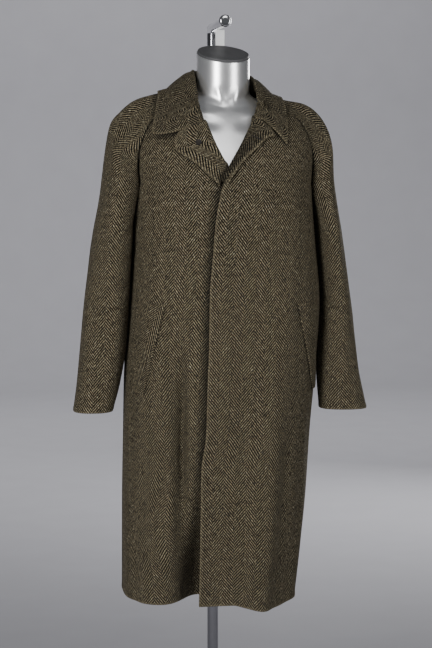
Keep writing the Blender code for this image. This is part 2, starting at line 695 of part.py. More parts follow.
def lapel_grid(table, face):
    """Points and normals of a lapel: rolled round the front's edge, then lying on the front."""
    radius = CLOTH / 2 + LIE + CLOTH
    points, normals = [], []
    for k in range(LAPEL_ROWS + 1):
        row = table_row(table, k / LAPEL_ROWS)
        roll_at = front_angle(row.roll_x, row.roll_z)
        roll = face(roll_at, row.roll_z)
        out = face_normal(face, roll_at, row.roll_z)
        probe_x = row.roll_x + (row.edge_x - row.roll_x) * ROLL_PROBE
        probe_z = row.roll_z + (row.edge_z - row.roll_z) * ROLL_PROBE
        away = roll - face(front_angle(probe_x, probe_z), probe_z)
        away = (away - out * away.dot(out)).normalized()
        for turn in ROLL_TURNS:
            way = away * math.cos(turn) + out * math.sin(turn)
            points.append(roll - out * (CLOTH / 2) + way * radius)
            normals.append(way)
        for j in range(LAPEL_COLUMNS + 1):
            q = j / LAPEL_COLUMNS
            x = row.roll_x + (row.edge_x - row.roll_x) * q
            z = row.roll_z + (row.edge_z - row.roll_z) * q
            angle = front_angle(x, z)
            normal = face_normal(face, angle, z)
            lift = LIE + CLOTH + LAPEL_PUFF * math.sin(math.pi * min(q * PUFF_RUN, 1.0))
            points.append(face(angle, z) + normal * lift)
            normals.append(normal)
    return points, normals, len(ROLL_TURNS) + LAPEL_COLUMNS


def build_lapel(name, table, side, face):
    """One lapel."""
    points, normals, columns = lapel_grid(table, face)
    quads = grid_quads(LAPEL_ROWS, columns)
    if side > 0:
        quads = [tuple(reversed(quad)) for quad in quads]
    return shell(name, points, normals, quads, CLOTH, TWEED)


def build_welt(name, side, face):
    """A slanted pocket welt, made from the front's points moved out."""
    points, normals = [], []
    for k in range(WELT_ROWS + 1):
        t = k / WELT_ROWS
        x = side * (WELT_BOTTOM[0] + (WELT_TOP[0] - WELT_BOTTOM[0]) * t)
        z = WELT_BOTTOM[1] + (WELT_TOP[1] - WELT_BOTTOM[1]) * t
        near = front_angle(x, z)
        far = drawn_in(near, side * 180.0, z, WELT_WIDTH)
        for j, angle in enumerate(spread(near, far, z, WELT_COLUMNS)):
            normal = face_normal(face, angle, z)
            lift = LIE + CLOTH + WELT_LIFT * (1 - j / WELT_COLUMNS)
            points.append(face(angle, z) + normal * lift)
            normals.append(normal)
    quads = grid_quads(WELT_ROWS, WELT_COLUMNS)
    if side < 0:
        quads = [tuple(reversed(quad)) for quad in quads]
    return shell(name, points, normals, quads, CLOTH, TWEED)


def neck_line(side):
    """Points of the neck seam from the middle of the back to the front end on one side."""
    top = raglan_rows()[-1]
    back_end = back_angle(side * top.back_x, BACK_TOP)
    line = [back_point(angle, BACK_TOP) for angle in np.linspace(180.0, back_end, NECK_BACK_STEPS + 1)]
    line += [shoulder_arc(side, top, t) for t in np.linspace(NECK_TOP_START, 0.0, NECK_TOP_STEPS + 1)]
    table, face = (LAPEL_LEFT, left_point) if side > 0 else (LAPEL_RIGHT, right_point)
    edge_x = over_edge_x if side > 0 else under_edge_x
    for z in (FRONT_TOP, table[0].roll_z + GORGE_RISE):
        line.append(face(front_angle(edge_x(z), z), z))
    return line


def along_line(line, count):
    """Points evenly spaced along a line of points."""
    steps = [(b - a).length for a, b in zip(line, line[1:])]
    length = np.concatenate(([0.0], np.cumsum(steps)))
    at = np.linspace(0.0, length[-1], count + 1)
    return [Vector(np.interp(d, length, [p[i] for p in line]) for i in range(3)) for d in at]


def collar_station(table, side, part, seam, dip):
    """Middle of the collar's cloth on one section: up the stand, over the fold and down the fall."""
    row = table_row(table, part)
    fold = Vector((side * row.fold_x, row.fold_y, row.fold_z))
    edge = Vector((side * row.edge_x, row.edge_y, row.edge_z))
    foot = seam - Vector((seam.x, seam.y, 0.0)).normalized() * COLLAR_INSET + Vector((0.0, 0.0, FOOT_RISE))
    rise = fold - foot
    fall = edge - fold
    turn = min(COLLAR_TURN, rise.length * TURN_SHARE)
    below = Vector((0.0, 0.0, -turn * TURN_DROP))
    line = [foot, foot + rise * STAND_MIDDLE, fold - rise.normalized() * turn + below, fold]
    line.append(fold + fall.normalized() * turn + below)
    level = Vector((0.0, 0.0, 1.0))
    arch = (level - fall.normalized() * level.dot(fall.normalized())).normalized()
    sag = dip * ease((part - NOTCH_FROM) / (1 - NOTCH_FROM))
    for j in range(1, FALL_COLUMNS + 1):
        q = j / FALL_COLUMNS
        swell = math.sin(math.pi * q)
        line.append(fold + fall * q + arch * (COLLAR_BULGE * swell) - level * (sag * swell))
    return line


def kept_clear(points, movable, distance, way=1):
    """Points moved, where they must, to stand a distance outside the panels, or inside if way is -1."""
    tree = panel_tree()
    moved = list(points)
    for i in movable:
        for _ in range(3):
            near, normal, _face, _far = tree.find_nearest(moved[i])
            height = (moved[i] - near).dot(normal) * way
            if height < distance and (moved[i] - near).length < NEAR_PANEL:
                moved[i] = moved[i] + normal * way * (distance - height)
    return moved


def panel_tree():
    """Search tree over the outer faces of the panels that lie on the shoulders."""
    points, faces = [], []
    for name in ("front_right", "front_left", "back", "sleeve_right_front", "sleeve_right_back",
                 "sleeve_left_front", "sleeve_left_back"):
        mesh = bpy.data.objects[name].data
        outer = len(mesh.vertices) // 2
        first = len(points)
        points += [v.co for v in mesh.vertices]
        faces += [tuple(i + first for i in p.vertices) for p in mesh.polygons if max(p.vertices) < outer]
    return BVHTree.FromPolygons(points, faces)


def build_collar():
    """The collar, in one sheet from front end to front end."""
    stations = []
    for table, side, dip in ((COLLAR_RIGHT, -1, NOTCH_DIP_RIGHT), (COLLAR_LEFT, 1, NOTCH_DIP_LEFT)):
        seams = along_line(neck_line(side), COLLAR_STATIONS)
        half = [collar_station(table, side, k / COLLAR_STATIONS, seam, dip)
                for k, seam in enumerate(seams)]
        stations = half[::-1] if side < 0 else stations + half[1:]
    columns = len(stations[0]) - 1
    points = [p for line in stations for p in line]
    fold = columns - FALL_COLUMNS - 1
    movable = [i for i in range(len(points)) if i % (columns + 1) >= fold]
    points = kept_clear(points, movable, COLLAR_CLOTH / 2 + COLLAR_CLEAR)
    quads = grid_quads(2 * COLLAR_STATIONS, columns)
    normals = grid_normals(points, quads)
    outer = [p + n * (COLLAR_CLOTH / 2) for p, n in zip(points, normals)]
    return shell("collar", outer, normals, quads, COLLAR_CLOTH, TWEED)


def turned(name, profile, sides, finish, place=Matrix.Identity(4)):
    """A solid of revolution about Z from (radius, height) pairs, from its bottom to its top."""
    points, faces = [], []
    for radius, height in profile:
        for k in range(sides):
            turn = 2 * math.pi * k / sides
            points.append((radius * math.cos(turn), radius * math.sin(turn), height))
    for r in range(len(profile) - 1):
        for k in range(sides):
            n = (k + 1) % sides
            faces.append((r * sides + k, r * sides + n, (r + 1) * sides + n, (r + 1) * sides + k))
    faces.append(tuple(reversed(range(sides))))
    faces.append(tuple(range((len(profile) - 1) * sides, len(profile) * sides)))
    return add_object(name, points, faces, finish, place)


def build_button():
    """The lapel's button, lying on the lapel."""
    x, z = BUTTON_AT
    angle = front_angle(x, z)
    normal = face_normal(right_point, angle, z)
    seat = right_point(angle, z) + normal * (LIE + CLOTH + LAPEL_PUFF + LIE)
    place = Matrix.Translation(seat) @ normal.to_track_quat("Z", "Y").to_matrix().to_4x4()
    profile = [(turn.radius * BUTTON_RADIUS, turn.height * BUTTON_HEIGHT) for turn in BUTTON_PROFILE]
    return turned("lapel_button", profile, BUTTON_SIDES, HORN, place)


def torso_point(z, angle):
    """Point of the torso form, which leans below the neck and is cut on a slope at its top."""
    row = table_row(TORSO, z)
    power = 2 / row.square
    across, along = math.sin(angle), math.cos(angle)
    depth = row.front if along > 0 else row.back
    x = row.side * squared(across, power)
    y = -depth * squared(along, power)
    cut = ease((z - NECK_FOOT) / (NECK_TOP - NECK_FOOT))
    hang = min(z - NECK_FOOT, 0.0) * math.sin(TORSO_LEAN)
    lean = math.tan(TORSO_LEAN) * (1 - cut) + NECK_ROLL * cut
    return Vector((x + hang, y, z + cut * NECK_CUT * y - lean * x))


def build_form():
    """The torso form, with a slot at the back of the neck for the hanger bar."""
    heights = np.concatenate((
        np.linspace(TORSO[0].z, SHOULDER_FOOT, TORSO_ROWS, endpoint=False),
        np.linspace(SHOULDER_FOOT, NECK_FOOT, SHOULDER_ROWS, endpoint=False),
        np.linspace(NECK_FOOT, NECK_TOP, NECK_ROWS + 1)))
    points = [torso_point(z, 2 * math.pi * k / TORSO_SIDES) for z in heights for k in range(TORSO_SIDES)]
    low, high = SHOULDER_BAND
    shoulders = [r * TORSO_SIDES + k for r, z in enumerate(heights) if low < z < high
                 for k in range(TORSO_SIDES)]
    points = kept_clear(points, shoulders, CLOTH + SHOULDER_REST, way=-1)
    faces = []
    for r in range(len(heights) - 1):
        for k in range(TORSO_SIDES):
            n = (k + 1) % TORSO_SIDES
            row, above = r * TORSO_SIDES, (r + 1) * TORSO_SIDES
            faces.append((row + k, row + n, above + n, above + k))
    faces.append(tuple(reversed(range(TORSO_SIDES))))
    faces.append(tuple(range((len(heights) - 1) * TORSO_SIDES, len(heights) * TORSO_SIDES)))
    form = add_object("form", points, faces, SILVER)
    slot = box("form_slot", BAR_SIZE[0] / 2 + GAP, BAR_SIZE[1] / 2 + GAP, BAR_FOOT - GAP, ARM_Z, STEEL)
    slot.hide_render = True
    slot.display_type = "WIRE"
    cut = form.modifiers.new("slot", "BOOLEAN")
    cut.operation = "DIFFERENCE"
    cut.solver = "EXACT"
    cut.object = slot
    return form


def build_neck_cap():
    """The dark cap on the sloping top of the neck."""
    middle = Vector((0.0, 0.0, NECK_TOP))
    up = Vector((NECK_ROLL, -NECK_CUT, 1.0)).normalized()
    place = Matrix.Translation(middle + up * GAP) @ up.to_track_quat("Z", "Y").to_matrix().to_4x4()
    profile = ((CAP_RADIUS, 0.0), (CAP_RADIUS, CAP_HEIGHT - CAP_ROUND),
               (CAP_RADIUS - CAP_ROUND, CAP_HEIGHT))
    return turned("neck_cap", profile, TORSO_SIDES, DARK_CAP, place)


def box(name, half_x, half_y, low, high, finish):
    """An upright box round the hanger bar's place."""
    corners = [Vector((BAR_AT[0] + sx * half_x, BAR_AT[1] + sy * half_y, z))
               for z in (low, high) for sx, sy in ((-1, -1), (1, -1), (1, 1), (-1, 1))]
    faces = [(3, 2, 1, 0), (4, 5, 6, 7)]
    faces += [(k, (k + 1) % 4, (k + 1) % 4 + 4, k + 4) for k in range(4)]
    return add_object(name, corners, faces, finish)


def build_stand():
    """Base plate, pole in its socket, arm with its knob, and the bar that carries the form."""
    base_profile = ((BASE_RADIUS, 0.0), (BASE_RADIUS, BASE_HEIGHT - BASE_ROUND),
                    (BASE_RADIUS - BASE_ROUND, BASE_HEIGHT))
    under_arm = ARM_Z - ARM_RADIUS - GAP
    pole_profile = ((POLE_RADIUS, 0.0), (POLE_RADIUS, under_arm - (BASE_HEIGHT + GAP)))
    arm_profile = ((ARM_RADIUS, 0.0), (ARM_RADIUS, ARM_BACK - ARM_FRONT))
    knob_profile = [(turn.radius * KNOB_RADIUS, turn.height * KNOB_LENGTH) for turn in KNOB_PROFILE]
    pole_at = Matrix.Translation((*POLE_AT, BASE_HEIGHT + GAP))
    to_front = Matrix.Rotation(math.radians(90.0), 4, "X")
    arm_at = Matrix.Translation((0.0, ARM_BACK, ARM_Z)) @ to_front
    knob_at = Matrix.Translation((0.0, ARM_FRONT - GAP, ARM_Z)) @ to_front
    return [
        turned("base_plate", base_profile, BASE_SIDES, STEEL),
        turned("pole", pole_profile, TUBE_SIDES, CHROME, pole_at),
        build_socket(pole_at),
        turned("arm", arm_profile, TUBE_SIDES, CHROME, arm_at),
        turned("arm_knob", knob_profile, TUBE_SIDES, CHROME, knob_at),
        box("hanger_bar", BAR_SIZE[0] / 2, BAR_SIZE[1] / 2, BAR_FOOT, under_arm, WHITE_BAR),
    ]


def build_socket(place):
    """The ring that holds the pole's foot."""
    inner = POLE_RADIUS + GAP
    profile = ((inner, 0.0), (SOCKET_RADIUS, 0.0), (SOCKET_RADIUS, SOCKET_HEIGHT - BASE_ROUND),
               (SOCKET_RADIUS - BASE_ROUND, SOCKET_HEIGHT), (inner, SOCKET_HEIGHT))
    count = len(profile)
    points = []
    for k in range(TUBE_SIDES):
        turn = 2 * math.pi * k / TUBE_SIDES
        points += [(r * math.cos(turn), r * math.sin(turn), h) for r, h in profile]
    faces = []
    for k in range(TUBE_SIDES):
        here, there = k * count, ((k + 1) % TUBE_SIDES) * count
        faces += [(here + j, there + j, there + (j + 1) % count, here + (j + 1) % count)
                  for j in range(count)]
    return add_object("pole_socket", points, faces, STEEL, place)


def build_coat():
    """Every piece of the coat."""
    return [
        build_front("front_right", -1, right_point, under_edge_x),
        build_front("front_left", 1, left_point, over_edge_x),
        build_back(),
        *build_sleeve("right", -1, SLEEVE_RIGHT),
        *build_sleeve("left", 1, SLEEVE_LEFT),
        build_lapel("lapel_right", LAPEL_RIGHT, -1, right_point),
        build_lapel("lapel_left", LAPEL_LEFT, 1, left_point),
        build_welt("pocket_right", -1, right_point),
        build_welt("pocket_left", 1, left_point),
        build_button(),
        build_collar(),
    ]


def main():
    """Build the stand, the coat, and the form fitted under the coat."""
    clear_scene()
    gathered("stand", build_stand())
    gathered("coat", build_coat())
    gathered("torso", [build_form(), build_neck_cap()])


main()
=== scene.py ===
"""Looks of a herringbone tweed overcoat, worn by a silver torso form that hangs from a pole stand.

The cloth follows the same sections, seams and folds as the solids, on finer grids, with small creases,
turned edges and sewing, and the weave runs along each panel's grain. Metres, +Z up, front towards -Y.
"""

import json
import logging
import math
from dataclasses import dataclass, field
from enum import Enum
from typing import Any, Callable, Sequence

import bmesh
import bpy
import numpy as np
from mathutils import Matrix, Vector
from mathutils.bvhtree import BVHTree
from mathutils.kdtree import KDTree

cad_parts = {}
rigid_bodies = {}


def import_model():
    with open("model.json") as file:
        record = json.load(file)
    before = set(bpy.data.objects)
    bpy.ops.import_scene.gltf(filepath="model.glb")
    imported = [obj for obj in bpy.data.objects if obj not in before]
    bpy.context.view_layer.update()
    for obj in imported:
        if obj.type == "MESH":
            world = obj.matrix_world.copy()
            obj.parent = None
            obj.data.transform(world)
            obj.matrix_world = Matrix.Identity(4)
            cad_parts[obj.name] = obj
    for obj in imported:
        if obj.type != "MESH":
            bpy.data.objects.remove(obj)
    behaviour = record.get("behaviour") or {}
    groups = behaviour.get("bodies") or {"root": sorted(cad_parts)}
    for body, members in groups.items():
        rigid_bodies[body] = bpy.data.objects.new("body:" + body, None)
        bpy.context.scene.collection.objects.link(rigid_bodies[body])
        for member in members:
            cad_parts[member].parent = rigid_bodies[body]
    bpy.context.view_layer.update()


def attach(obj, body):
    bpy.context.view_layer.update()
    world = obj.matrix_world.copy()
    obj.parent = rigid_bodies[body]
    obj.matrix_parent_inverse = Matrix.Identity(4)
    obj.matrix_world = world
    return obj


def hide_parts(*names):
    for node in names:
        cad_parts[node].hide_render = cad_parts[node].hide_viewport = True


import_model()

Array = np.ndarray
Face = Callable[[Array, Array], Array]
Pair = tuple[float, float]
Triple = tuple[float, float, float]
Crease = tuple[Pair, Pair, float, float]   # start and end (round, height), half-width and depth
Fold = tuple[float, ...]                   # top, bottom, angles there, half-width in degrees, depth, peak
Corners = tuple[Triple, ...]               # radius, height and rounding of each corner of a profile
Material = bpy.types.Material
Object = bpy.types.Object
LOG = logging.getLogger("overcoat")
BODY_NAME = "root"
LEVEL = np.array([1.0, 1.0, 0.0])
UPRIGHT = np.array([0.0, 0.0, 1.0])


class Half(Enum):
    """Halves of the coat and of a sleeve."""

    FRONT = "front"
    BACK = "back"


class Held(Enum):
    """How a panel is held."""

    HUNG = "hung"
    FOLDED = "folded"
    LAID = "laid"


class Side(Enum):
    """Sides of the wearer, with the sign of X."""

    RIGHT = -1
    LEFT = 1

    @property
    def word(self) -> str:
        """The side's name in lower case."""
        return self.name.lower()


@dataclass(frozen=True)
class Table:
    """Sizes in rows with named columns, read along the first column."""

    columns: tuple[str, ...]
    rows: tuple[tuple[float, ...], ...]

    def at(self, name: str, where: Any) -> Array:
        """Values of a column on a smooth curve through its rows.

        Args:
            name: The column.
            where: Places along the first column.

        Returns:
            The values there.
        """
        grid = np.array(self.rows, float)
        return smooth_curve(grid[:, 0], grid[:, self.columns.index(name)], np.asarray(where, float))


def smooth_curve(xs: Array, ys: Array, x: Array) -> Array:
    """Curve through points that never overshoots them.

    Args:
        xs: Places of the points, rising.
        ys: Values of the points.
        x: Places to read.

    Returns:
        Values at x.
    """
    step = np.diff(xs)
    slope = np.diff(ys) / step
    tangent = np.zeros(len(xs))
    tangent[0], tangent[-1] = slope[0], slope[-1]
    same_way = slope[:-1] * slope[1:] > 0
    before, after = slope[:-1][same_way], slope[1:][same_way]
    tangent[1:-1][same_way] = 2 / (1 / before + 1 / after)
    x = np.clip(x, xs[0], xs[-1])
    i = np.clip(np.searchsorted(xs, x) - 1, 0, len(step) - 1)
    t = (x - xs[i]) / step[i]
    start = (1 + 2 * t) * (1 - t) ** 2 * ys[i] + t * (1 - t) ** 2 * step[i] * tangent[i]
    return start + t * t * (3 - 2 * t) * ys[i + 1] + t * t * (t - 1) * step[i] * tangent[i + 1]


def ease(t: Any) -> Array:
    """Soft step from 0 to 1."""
    t = np.clip(t, 0.0, 1.0)
    return t * t * (3 - 2 * t)


def bell(x: Any, run: float) -> Array:
    """Soft bump of height 1 that fades over a run."""
    return np.exp(-((x / run) ** 2))


def unit(v: Array) -> Array:
    """Vectors brought to length 1."""
    return v / np.maximum(np.linalg.norm(v, axis=-1, keepdims=True), 1e-9)


def signed_power(value: Array, power: Array) -> Array:
    """Power of the size, with the sign kept, for a superellipse."""
    return np.sign(value) * np.abs(value) ** power


def point(x: Any, y: Any, z: Any) -> Array:
    """Points from their coordinates."""
    return np.stack(np.broadcast_arrays(x, y, z), axis=-1).astype(float)


def lengths_along(points: Array) -> Array:
    """Running length along a line of points."""
    return np.concatenate(([0.0], np.cumsum(np.linalg.norm(np.diff(points, axis=0), axis=1))))


def resampled(line: Array, places: Array) -> Array:
    """Points of a smooth curve through a line, at places along its length."""
    length = lengths_along(line)
    return np.stack([smooth_curve(length, line[:, i], places) for i in range(3)], axis=1)


def hermite(a: Array, b: Array, start: Array, end: Array, t: Array) -> Array:
    """Points on the curve from a to b with these tangents."""
    first = a * ((1 + 2 * t) * (1 - t) ** 2) + start * (t * (1 - t) ** 2)
    return first + b * (t * t * (3 - 2 * t)) + end * (t * t * (t - 1))


EDGE_STEPS = np.array([0.0, 0.0012, 0.0028, 0.0048, 0.0075, 0.0110])
EDGE_ROOM = 6              # a length shorter than this many runs of edge steps has shorter steps


def spaced(length: float, count: int, fine_start: bool = True, fine_end: bool = True,
           share: float = 0.0) -> Array:
    """Places along a length, closer together next to its ends.

    Args:
        length: The whole length.
        count: Number of steps.
        fine_start: Whether the start is an edge of the cloth.
        fine_end: Whether the end is an edge of the cloth.
        share: How far the places have gone over to those with two fine ends.

    Returns:
        count + 1 places from 0 to length.
    """
    steps = EDGE_STEPS * min(1.0, length / (EDGE_ROOM * EDGE_STEPS[-1]))
    head = steps if fine_start else steps[:1]
    tail = length - (steps if fine_end else steps[:1])[::-1]
    middle = np.linspace(head[-1], tail[0], count + 3 - len(head) - len(tail))
    places = np.concatenate((head[:-1], middle, tail[1:]))
    return places * (1 - share) + spaced(length, count) * share if share else places


BODY = Table(("z", "right", "left", "front", "back", "square_right", "square_left", "square_back"), (
    (0.440, 0.2255, 0.1620, 0.180, 0.127, 4.0, 1.6, 2.4),
    (0.640, 0.2245, 0.1840, 0.177, 0.128, 3.3, 1.8, 2.4),
    (0.800, 0.2215, 0.1930, 0.174, 0.127, 2.8, 2.0, 2.4),
    (0.925, 0.2190, 0.2030, 0.170, 0.125, 2.5, 2.2, 2.3),
    (1.080, 0.2070, 0.2125, 0.166, 0.123, 2.4, 2.3, 2.3),
    (1.210, 0.1998, 0.2020, 0.162, 0.127, 2.3, 2.3, 2.3),
    (1.335, 0.1965, 0.1935, 0.155, 0.138, 2.3, 2.3, 2.4),
    (1.400, 0.2035, 0.1990, 0.141, 0.139, 2.3, 2.3, 2.4),
    (1.440, 0.2030, 0.1970, 0.125, 0.132, 2.1, 2.1, 2.3),
    (1.485, 0.1900, 0.1850, 0.097, 0.114, 1.75, 1.75, 2.2),
    (1.535, 0.1100, 0.1100, 0.080, 0.093, 2.0, 2.0, 2.1),
))
RAGLAN = Table(
    ("part", "front_x", "front_z", "back_x", "back_z", "top_right", "top_right_z", "top_left", "top_left_z"),
    (
        (0.00, 0.188, 1.335, 0.185, 1.335, 0.2667, 1.343, 0.2450, 1.343),
        (0.20, 0.191, 1.372, 0.187, 1.385, 0.2580, 1.409, 0.2395, 1.412),
        (0.40, 0.190, 1.402, 0.180, 1.425, 0.2467, 1.464, 0.2290, 1.457),
        (0.60, 0.182, 1.432, 0.165, 1.458, 0.2244, 1.492, 0.2067, 1.492),
        (0.75, 0.173, 1.452, 0.143, 1.486, 0.1933, 1.516, 0.1756, 1.511),
        (0.90, 0.150, 1.4785, 0.087, 1.519, 0.1400, 1.532, 0.1267, 1.520),
        (1.00, 0.080, 1.485, 0.062, 1.535, 0.0780, 1.545, 0.0780, 1.535),
    ),
)
SLEEVE_COLUMNS = ("z", "outer", "inner", "front", "back")
SLEEVES = {
    Side.RIGHT: Table(SLEEVE_COLUMNS, (
        (0.842, 0.3330, 0.2467, 0.078, 0.030),
        (0.903, 0.3244, 0.2300, 0.081, 0.044),
        (0.991, 0.3156, 0.2150, 0.085, 0.061),
        (1.079, 0.3067, 0.2090, 0.087, 0.073),
        (1.145, 0.2978, 0.2050, 0.088, 0.080),
        (1.211, 0.2889, 0.2010, 0.090, 0.085),
        (1.277, 0.2780, 0.1975, 0.091, 0.090),
        (1.335, 0.2667, 0.1955, 0.092, 0.094),
    )),
    Side.LEFT: Table(SLEEVE_COLUMNS, (
        (0.840, 0.3190, 0.2133, 0.070, 0.030),
        (0.925, 0.3000, 0.2085, 0.083, 0.050),
        (0.997, 0.2889, 0.2115, 0.089, 0.066),
        (1.079, 0.2800, 0.2165, 0.092, 0.078),
        (1.145, 0.2710, 0.2115, 0.093, 0.084),
        (1.211, 0.2620, 0.2060, 0.093, 0.088),
        (1.277, 0.2530, 0.2005, 0.093, 0.092),
        (1.335, 0.2450, 0.1960, 0.092, 0.094),
    )),
}
LAPEL_COLUMNS = ("part", "roll_x", "roll_z", "edge_x", "edge_z")
LAPELS = {
    Side.RIGHT: Table(LAPEL_COLUMNS, (
        (0.00, -0.0565, 1.4635, -0.1090, 1.4365),
        (0.15, -0.0505, 1.4450, -0.1172, 1.4235),
        (0.30, -0.0440, 1.4270, -0.1165, 1.4080),
        (0.50, -0.0338, 1.4030, -0.0863, 1.3846),
        (0.70, -0.0230, 1.3820, -0.0604, 1.3626),
        (0.86, -0.0150, 1.3720, -0.0400, 1.3420),
        (1.00, -0.0120, 1.3640, -0.0310, 1.3300),
    )),
    Side.LEFT: Table(LAPEL_COLUMNS, (
        (0.00, 0.0560, 1.4750, 0.0830, 1.4490),
        (0.15, 0.0528, 1.4610, 0.0905, 1.4352),
        (0.30, 0.0450, 1.4465, 0.0765, 1.4300),
        (0.50, 0.0320, 1.4240, 0.0510, 1.4080),
        (0.70, 0.0180, 1.4010, 0.0270, 1.3880),
        (0.86, 0.0000, 1.3710, 0.0060, 1.3640),
        (1.00, -0.0190, 1.3370, -0.0150, 1.3335),
    )),
}
COLLAR_COLUMNS = ("part", "fold_x", "fold_y", "fold_z", "edge_x", "edge_y", "edge_z")
COLLARS = {
    Side.RIGHT: Table(COLLAR_COLUMNS, (
        (0.00, 0.0000, 0.084, 1.578, 0.0000, 0.124, 1.508),
        (0.25, 0.0430, 0.070, 1.583, 0.0880, 0.106, 1.516),
        (0.45, 0.0620, 0.027, 1.585, 0.1320, 0.040, 1.527),
        (0.62, 0.0650, -0.022, 1.566, 0.1430, -0.020, 1.516),
        (0.80, 0.0640, -0.070, 1.524, 0.1560, -0.060, 1.480),
        (1.00, 0.0570, -0.107, 1.469, 0.1660, -0.092, 1.442),
    )),
    Side.LEFT: Table(COLLAR_COLUMNS, (
        (0.00, 0.0000, 0.084, 1.578, 0.0000, 0.124, 1.508),
        (0.25, 0.0440, 0.069, 1.575, 0.0850, 0.104, 1.509),
        (0.45, 0.0640, 0.027, 1.572, 0.1190, 0.040, 1.516),
        (0.62, 0.0670, -0.022, 1.556, 0.1240, -0.020, 1.505),
        (0.80, 0.0650, -0.066, 1.520, 0.1250, -0.066, 1.468),
        (1.00, 0.0540, -0.101, 1.481, 0.1190, -0.112, 1.4176),
    )),
}
FRONT_EDGES = {
    Side.LEFT: (
        (0.440, -0.0760), (0.640, -0.0720), (0.727, -0.0704), (0.800, -0.0600), (0.886, -0.0570),
        (1.000, -0.0525), (1.100, -0.0505), (1.167, -0.0450), (1.255, -0.0370), (1.310, -0.0270),
    ),
    Side.RIGHT: ((0.440, -0.0250), (0.900, -0.0050), (1.200, 0.0200), (1.300, 0.0180)),
}
FLY_DRAG = (1.33, 1.22, 6.0, 1.0, 4.0, -0.004, 0.4)
RIGHT_FOLDS = (
    FLY_DRAG,
    (0.75, 0.44, -4.0, -4.5, 12.8, -0.100, 1.0),
    (1.14, 0.46, -33.0, -14.5, 4.4, -0.034, 0.6),
    (0.96, 0.44, -60.0, -63.0, 12.0, -0.007, 1.0),
    (1.25, 0.80, -52.0, -50.0, 9.0, 0.005, 0.5),
)
LEFT_FOLDS = (
    (1.15, 0.44, 28.0, 21.0, 11.0, 0.030, 1.0),
    (0.95, 0.44, 2.0, 3.0, 8.0, -0.007, 1.0),
    (1.00, 0.44, 44.0, 40.0, 12.0, 0.010, 1.0),
    (0.85, 0.44, 62.0, 60.0, 9.0, 0.012, 1.0),
    FLY_DRAG,
)
BACK_FOLDS = (
    (0.98, 0.44, 150.0, 146.0, 9.0, 0.013, 1.0),
    (0.86, 0.44, 172.0, 170.0, 8.0, -0.014, 1.0),
    (1.02, 0.44, 198.0, 203.0, 9.0, 0.010, 1.0),
    (0.90, 0.44, 226.0, 228.0, 8.0, -0.012, 1.0),
    (0.80, 0.44, 124.0, 122.0, 8.0, -0.010, 1.0),
)
RIGHT_CREASES = (
    ((-3.0, 1.375), (-8.0, 1.310), 0.008, -0.0060),
    ((-40.0, 1.330), (-24.0, 1.290), 0.010, -0.0016),
    ((-58.0, 1.345), (-46.0, 1.240), 0.012, -0.0022),
    ((-66.0, 1.300), (-60.0, 1.170), 0.010, 0.0018),
    ((-47.0, 1.190), (-43.0, 1.000), 0.014, -0.0018),
    ((-36.0, 1.060), (-30.0, 0.900), 0.011, -0.0030),
    ((-27.5, 1.020), (-22.5, 0.640), 0.008, -0.0026),
    ((-41.0, 0.860), (-37.0, 0.620), 0.016, 0.0030),
    ((-52.0, 0.800), (-50.0, 0.560), 0.014, -0.0032),
    ((-32.0, 0.700), (-29.0, 0.480), 0.012, 0.0022),
    ((-71.0, 0.980), (-67.0, 0.700), 0.012, -0.0028),
)
LEFT_CREASES = (
    ((22.0, 1.400), (9.0, 1.318), 0.011, -0.0020),
    ((6.0, 1.300), (-3.0, 1.225), 0.006, 0.0022),
    ((58.0, 1.345), (45.0, 1.245), 0.012, -0.0022),
    ((66.0, 1.290), (59.0, 1.150), 0.011, 0.0018),
    ((14.0, 1.160), (11.0, 0.960), 0.012, -0.0018),
    ((40.0, 1.130), (44.0, 0.930), 0.016, -0.0024),
    ((7.0, 0.880), (9.0, 0.600), 0.014, -0.0026),
    ((18.0, 0.900), (15.0, 0.560), 0.013, 0.0026),
    ((38.0, 0.830), (35.0, 0.520), 0.012, -0.0036),
    ((50.0, 0.760), (47.0, 0.480), 0.012, 0.0030),
    ((70.0, 0.930), (66.0, 0.680), 0.014, -0.0026),
)
BACK_CREASES = (
    ((128.0, 1.340), (138.0, 1.230), 0.012, -0.0024),
    ((232.0, 1.340), (221.0, 1.220), 0.012, -0.0022),
    ((118.0, 1.280), (126.0, 1.120), 0.011, 0.0020),
    ((160.0, 1.160), (163.0, 0.930), 0.016, -0.0020),
    ((206.0, 1.120), (201.0, 0.880), 0.015, -0.0022),
    ((182.0, 0.980), (184.0, 0.700), 0.016, 0.0024),
    ((136.0, 0.900), (133.0, 0.600), 0.014, -0.0030),
    ((214.0, 0.840), (217.0, 0.560), 0.014, -0.0032),
    ((243.0, 1.000), (240.0, 0.720), 0.013, 0.0024),
)
HEM_DROP = Table(("angle", "drop"), (
    (-30.0, 0.0040), (0.0, 0.0045), (10.0, 0.0084), (21.0, 0.0158), (30.0, 0.0174), (42.0, 0.0172),
    (62.0, 0.0115), (90.0, 0.0000),
))
DEGREE = 0.0030            # metres round the body for a degree, to place creases
CREASE_ENDS = 2.6          # how fast a crease comes in from its ends
CREASE_BESIDE = 0.35       # share of its depth by which the cloth beside it moves the other way
CREASE_SPREAD = 2.2        # how much wider that is than the crease


